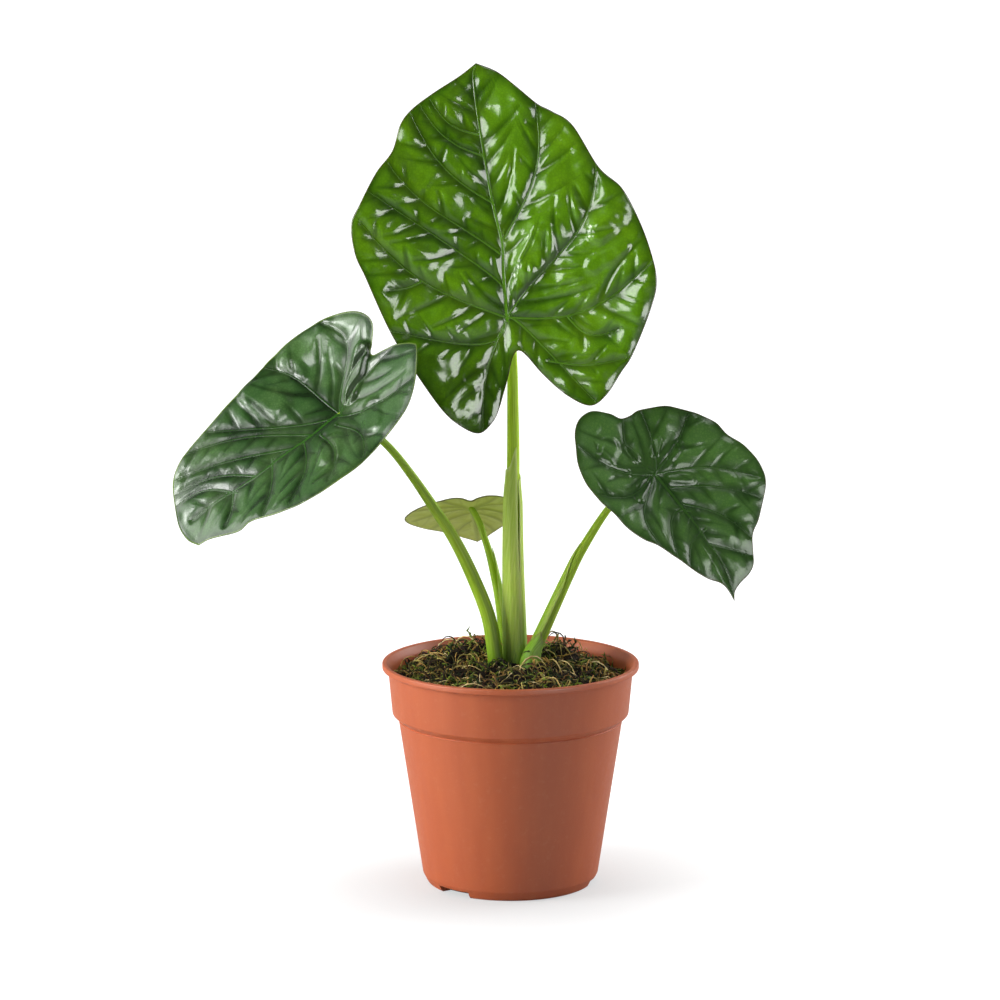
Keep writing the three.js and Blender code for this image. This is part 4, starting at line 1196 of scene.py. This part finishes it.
def tangle_group():
    """Scatters strands over a bed, leaning every way, and holds them inside the pot's wall."""
    tree = new_group("strands on a bed", {
        "Strands": "NodeSocketCollection", "Density": "NodeSocketFloat", "Seed": "NodeSocketInt",
        "Lean": "NodeSocketFloat", "Smallest": "NodeSocketFloat", "Largest": "NodeSocketFloat",
        "Sink": "NodeSocketFloat", "Room Radius": "NodeSocketFloat",
        "Stuff": "NodeSocketMaterial"})
    given = add(tree, "NodeGroupInput").outputs
    room = add(tree, "GeometryNodeInputNamedAttribute", {"Name": "room"})
    density = add(tree, "ShaderNodeMath", {0: room, 1: given["Density"]}, operation="MULTIPLY")
    spots = add(tree, "GeometryNodeDistributePointsOnFaces", {
        "Mesh": given["Geometry"], "Density": density, "Seed": given["Seed"]})
    shapes = add(tree, "GeometryNodeCollectionInfo", {
        "Collection": given["Strands"], "Separate Children": True, "Reset Children": True})
    # A strand leans by up to `Lean` both ways, and turns by any angle.
    low = add(tree, "ShaderNodeMath", {0: given["Lean"], 1: -1.0}, operation="MULTIPLY")
    least = add(tree, "ShaderNodeCombineXYZ", {"X": low, "Y": low})
    most = add(tree, "ShaderNodeCombineXYZ", {"X": given["Lean"], "Y": given["Lean"], "Z": TURN})
    lean = add(tree, "FunctionNodeRandomValue", {"Min": least, "Max": most, "Seed": given["Seed"]},
               data_type="FLOAT_VECTOR")
    tilt = add(tree, "FunctionNodeEulerToRotation", {"Euler": lean})
    turned = add(tree, "FunctionNodeRotateRotation", {
        "Rotation": spots.outputs["Rotation"], "Rotate By": tilt}, rotation_space="LOCAL")
    size = add(tree, "FunctionNodeRandomValue", {
        "Min": given["Smallest"], "Max": given["Largest"], "Seed": given["Seed"]},
        data_type="FLOAT")
    placed = add(tree, "GeometryNodeInstanceOnPoints", {
        "Points": spots, "Instance": shapes, "Pick Instance": True, "Rotation": turned,
        "Scale": size})
    tint = add(tree, "FunctionNodeRandomValue", {"Seed": 11}, data_type="FLOAT")
    tinted = add(tree, "GeometryNodeStoreNamedAttribute", {
        "Geometry": placed, "Name": "tint", "Value": tint}, domain="INSTANCE")
    real = add(tree, "GeometryNodeRealizeInstances", {"Geometry": tinted})
    # What would stand past the wall is pulled in to it, and all is sunk a little.
    place = add(tree, "GeometryNodeInputPosition")
    parts = add(tree, "ShaderNodeSeparateXYZ", {"Vector": place}).outputs
    level = add(tree, "ShaderNodeCombineXYZ", {"X": parts["X"], "Y": parts["Y"]})
    radius = add(tree, "ShaderNodeVectorMath", {0: level}, operation="LENGTH")
    ratio = add(tree, "ShaderNodeMath", {0: given["Room Radius"], 1: radius}, operation="DIVIDE")
    held = add(tree, "ShaderNodeMath", {0: ratio, 1: 1.0}, operation="MINIMUM")
    pulled = add(tree, "ShaderNodeVectorMath", {0: level, "Scale": held}, operation="SCALE")
    sunk = add(tree, "ShaderNodeMath", {0: parts["Z"], 1: given["Sink"]}, operation="SUBTRACT")
    lifted = add(tree, "ShaderNodeCombineXYZ", {"Z": sunk})
    final = add(tree, "ShaderNodeVectorMath", {0: pulled, 1: lifted}, operation="ADD")
    inside = add(tree, "GeometryNodeSetPosition", {"Geometry": real, "Position": final})
    finish_group(tree, inside, given["Stuff"])
    return tree


TANGLES = {
    # strand: length, width, leaflets, lean of its root and curl; density per square metre
    "moss_sprigs_olive": {"strand": (13, 1.1, 0, 0.6, 4.2), "density": 95000, "lean": 1.1,
                          "sizes": (0.6, 1.2), "seed": 1, "sink": 1.0,
                          "colours": ("#0f0c04", "#443c12", "#b0a052")},
    "moss_sprigs_green": {"strand": (9, 1.3, 3, 0.2, 3.2), "density": 65000, "lean": 1.1,
                          "sizes": (0.6, 1.1), "seed": 2, "sink": 1.0,
                          "colours": ("#0b1503", "#32460a", "#80922a")},
    "moss_sprigs_brown": {"strand": (14, 1.0, 0, 0.6, 4.6), "density": 80000, "lean": 1.2,
                          "sizes": (0.6, 1.2), "seed": 3, "sink": 0.8,
                          "colours": ("#0c0703", "#432a0f", "#b88e46")},
    "moss_straws": {"strand": (22, 0.75, 0, 1.2, 2.8), "density": 26000, "lean": 0.4,
                    "sizes": (0.5, 1.3), "seed": 4, "sink": -0.6,
                    "colours": ("#8c6a30", "#cbae66", "#f2dea4")},
}


def make_moss(peat):
    """The bed and four kinds of strands on it, each kind in seven shapes."""
    bed = make_moss_bed(peat)
    tree = tangle_group()
    pieces = [bed]
    for name, tangle in TANGLES.items():
        rng = np.random.default_rng(tangle["seed"])
        shapes = bpy.data.collections.new(name + "_shapes")
        for index in range(7):
            shape = sprig_mesh(f"{name}_{index}", rng, *tangle["strand"])
            bpy.context.scene.collection.objects.unlink(shape)
            shapes.objects.link(shape)
        smallest, largest = tangle["sizes"]
        pieces.append(grown(name, bed, tree, {
            "Strands": shapes, "Density": float(tangle["density"]), "Seed": tangle["seed"],
            "Lean": tangle["lean"], "Smallest": smallest, "Largest": largest,
            "Sink": tangle["sink"] * MM, "Room Radius": MOSS["room_radius"] * MM,
            "Stuff": dried_strand(name, *tangle["colours"])}))
        for shape in list(shapes.objects):
            bpy.data.objects.remove(shape)
        bpy.data.collections.remove(shapes)
    for piece in pieces:
        stand_in(piece, "moss_mat")


# ---------------------------------------------------------------- surroundings


def make_floor():
    """A pale sweep that glows for the camera almost as brightly as the background, so only a soft
    shadow shows. This glow is painted light: it is weaker near the pot, where the shadow may show,
    and fills the shadows further out.
    """
    material, tree = new_material("white_paper_sweep")
    place = add(tree, "ShaderNodeTexCoord").outputs["Object"]
    far = add(tree, "ShaderNodeVectorMath", {0: place}, operation="LENGTH")
    # Painted light: the floor's glow is weaker within about 0.16 m of the pot.
    level = add(tree, "ShaderNodeMapRange", {
        "Value": far, "From Min": 0.045, "From Max": 0.16, "To Min": 0.56, "To Max": 1.0})
    seen = add(tree, "ShaderNodeLightPath").outputs["Is Camera Ray"]
    shown = add(tree, "ShaderNodeMath", {0: level, 1: seen}, operation="MULTIPLY")
    white = add(tree, "ShaderNodeMix", {
        "Factor": seen, "A": linear("#bfbfbf"), "B": linear("#959595")}, data_type="RGBA")
    paper = add(tree, "ShaderNodeBsdfDiffuse", {"Color": white})
    glow = add(tree, "ShaderNodeEmission", {"Color": linear("#ffffff"), "Strength": shown})
    both = add(tree, "ShaderNodeAddShader", {0: paper, 1: glow})
    add(tree, "ShaderNodeOutputMaterial", {"Surface": both})
    material.cycles.emission_sampling = "NONE"
    half, low = 20000, -0.2
    points = [(-half, -half, low), (half, -half, low), (half, half, low), (-half, half, low)]
    floor = make_piece("floor", points, [(0, 1, 2, 3)], [material])


def make_world():
    """A white backdrop behind the plant in a dim room. Shiny surfaces see a room that is
    dark in front and brighter overhead, at the left and behind."""
    world = bpy.data.worlds.new("studio")
    world.use_nodes = True
    tree = world.node_tree
    tree.nodes.clear()
    direction = add(tree, "ShaderNodeTexCoord").outputs["Generated"]
    parts = add(tree, "ShaderNodeSeparateXYZ", {"Vector": direction}).outputs
    overhead = add(tree, "ShaderNodeMapRange", {
        "Value": parts["Z"], "From Min": 0.25, "From Max": 0.95, "To Min": 0.03, "To Max": 0.08})
    behind = add(tree, "ShaderNodeMapRange", {
        "Value": parts["Y"], "From Min": 0.0, "From Max": 0.9, "To Min": 0, "To Max": 0.35})
    beside = add(tree, "ShaderNodeMapRange", {
        "Value": parts["X"], "From Min": -0.55, "From Max": -0.9, "To Min": 0, "To Max": 0.6})
    around = add(tree, "ShaderNodeMath", {0: beside, 1: behind}, operation="MAXIMUM")
    mirrored = add(tree, "ShaderNodeMath", {0: overhead, 1: around}, operation="MAXIMUM")
    fill = add(tree, "ShaderNodeMapRange", {
        "Value": parts["Y"], "From Min": -0.4, "From Max": 0.3, "To Min": 0.14, "To Max": 1.2})
    rays = add(tree, "ShaderNodeLightPath").outputs
    level = add(tree, "ShaderNodeMix", {
        "Factor": rays["Is Glossy Ray"], "A": fill, "B": mirrored}, data_type="FLOAT")
    shown = add(tree, "ShaderNodeMix", {
        "Factor": rays["Is Camera Ray"], "A": level, "B": 1.0}, data_type="FLOAT")
    light = add(tree, "ShaderNodeBackground", {"Strength": shown, "Color": linear("#ffffff")})
    add(tree, "ShaderNodeOutputWorld", {"Surface": light})
    bpy.context.scene.world = world


def make_softbox(name, place, aim, width, height, radiance, lights="both"):
    """A rectangular light at `place`, turned towards `aim`. It `lights` the dull colour of
    things, shows in their shine, or both."""
    light = bpy.data.lights.new(name, "AREA")
    light.shape = "RECTANGLE"
    light.size, light.size_y = width, height
    light.energy = radiance * width * height * math.pi
    softbox = new_object(name, light)
    softbox.location = place
    softbox.visible_diffuse = lights != "shine"
    softbox.visible_glossy = lights != "colour"
    back = unit(np.array(place) - np.array(aim))
    side = unit(np.cross([0, 0, 1], back))
    up = np.cross(back, side)
    softbox.rotation_euler = Matrix((side, up, back)).transposed().to_euler()


def make_camera():
    """The photo's camera, fitted to the pot's lip, collar and foot."""
    camera = bpy.data.cameras.new("camera")
    camera.lens, camera.sensor_width = CAMERA["lens"], CAMERA["sensor"]
    holder = new_object("camera", camera)
    holder.location = CAMERA["place"]
    holder.rotation_euler = (math.radians(CAMERA["tilt"]), 0, 0)
    bpy.context.scene.camera = holder


# Place in metres, tilt in degrees from looking straight down, lens and sensor in millimetres.
CAMERA = {"place": (-0.00494, -1.8, 0.5081), "tilt": 79.72, "lens": 141.93, "sensor": 36}
# Place, aim, width and height in metres, the radiance, and what each lights.
SOFTBOXES = {
    "key": ((-1.56, -0.5, 0.62), (0, 0, 0.22), 0.8, 0.9, 14.5, "colour"),
    "window": ((-1.0, -1.25, 0.75), (0, 0, 0.22), 0.5, 0.7, 9, "shine"),
    "rim": ((1.3, 0.55, 0.6), (0, 0, 0.15), 0.9, 1.0, 5, "both"),
    "glint": ((0.95, -1.2, 0.4), (0, 0, 0.3), 0.8, 1.0, 8, "shine"),
    "sheen": ((-1.45, -0.52, 0.6), (0, 0, 0.2), 0.45, 0.35, 17, "shine"),
    "side": ((-1.46, -0.1, 0.82), (-0.08, -0.02, 0.22), 1.1, 0.5, 3.6, "shine"),
    "low": ((-1.35, -0.45, 0.02), (0, 0, 0.05), 0.7, 0.4, 12, "shine"),
    "overhead": ((0.35, -0.35, 1.5), (0, 0, 0.2), 0.35, 0.35, 5, "shine"),
}

# ---------------------------------------------------------------- the whole plant

make_camera()
make_world()
make_floor()
for name, softbox in SOFTBOXES.items():
    make_softbox(name, *softbox)
bpy.context.scene.view_settings.view_transform = "Standard"

peat = crumbled_peat("crumbled_peat", "#0d0906", "#2a1d12", "#4f3a24")
husk = crumbled_peat("papery_corm_husk", "#4b3622", "#7a5a3a", "#98784f")
for node, material in (("root_ball", peat), ("corm", husk)):
    for slot in frame["nodes"][node].material_slots:
        slot.material = material

make_pot(pot_plastic())
make_moss(peat)

skin = stalk_skin("stalk_skin", "#7ca016", "#9cc028", "#b8d44c")
# The tall stalk takes a lighter copy of the stalk skin: painted light against the shade that its
# blade casts on it.
lit_stalk_skin = stalk_skin("stalk_skin_painted_light", "#98c01c", "#bae030", "#d2f05a")
sweep = stalk_group()
for name, blade in BLADES.items():
    palette = PALETTES[name]
    upper = waxy_cuticle("waxy_leaf_" + name, palette)
    lower = leaf_underside("leaf_underside_" + name, palette)
    make_blade("leaf_" + name, blade, upper, lower, "blade_" + name)
    make_stalk("petiole_" + name, STALKS[name], blade, sweep,
               lit_stalk_skin if name == "tall" else skin, "stalk_" + name)

make_wrap("open_sheath", STALKS["tall"], SHEATH,
          sheath_skin("sheath_skin", "#d6e888", "#d0e470", "#bedc54", "#acce44"), "sheath_tall")
make_wrap("old_sheath", STALKS["right"], SCRAP,
          sheath_skin("old_sheath_skin", "#8f8a3c", "#b0d458", "#92c034", "#70a01c"),
          "sheath_scrap")
wing_skin = sheath_skin("wing_skin", "#b8cc60", "#b4cc50", "#98bc30", "#7c9e1c")
for name, wing in WINGS.items():
    make_wrap("stalk_wing_" + name, STALKS[name], wing, wing_skin, "stalk_" + name)
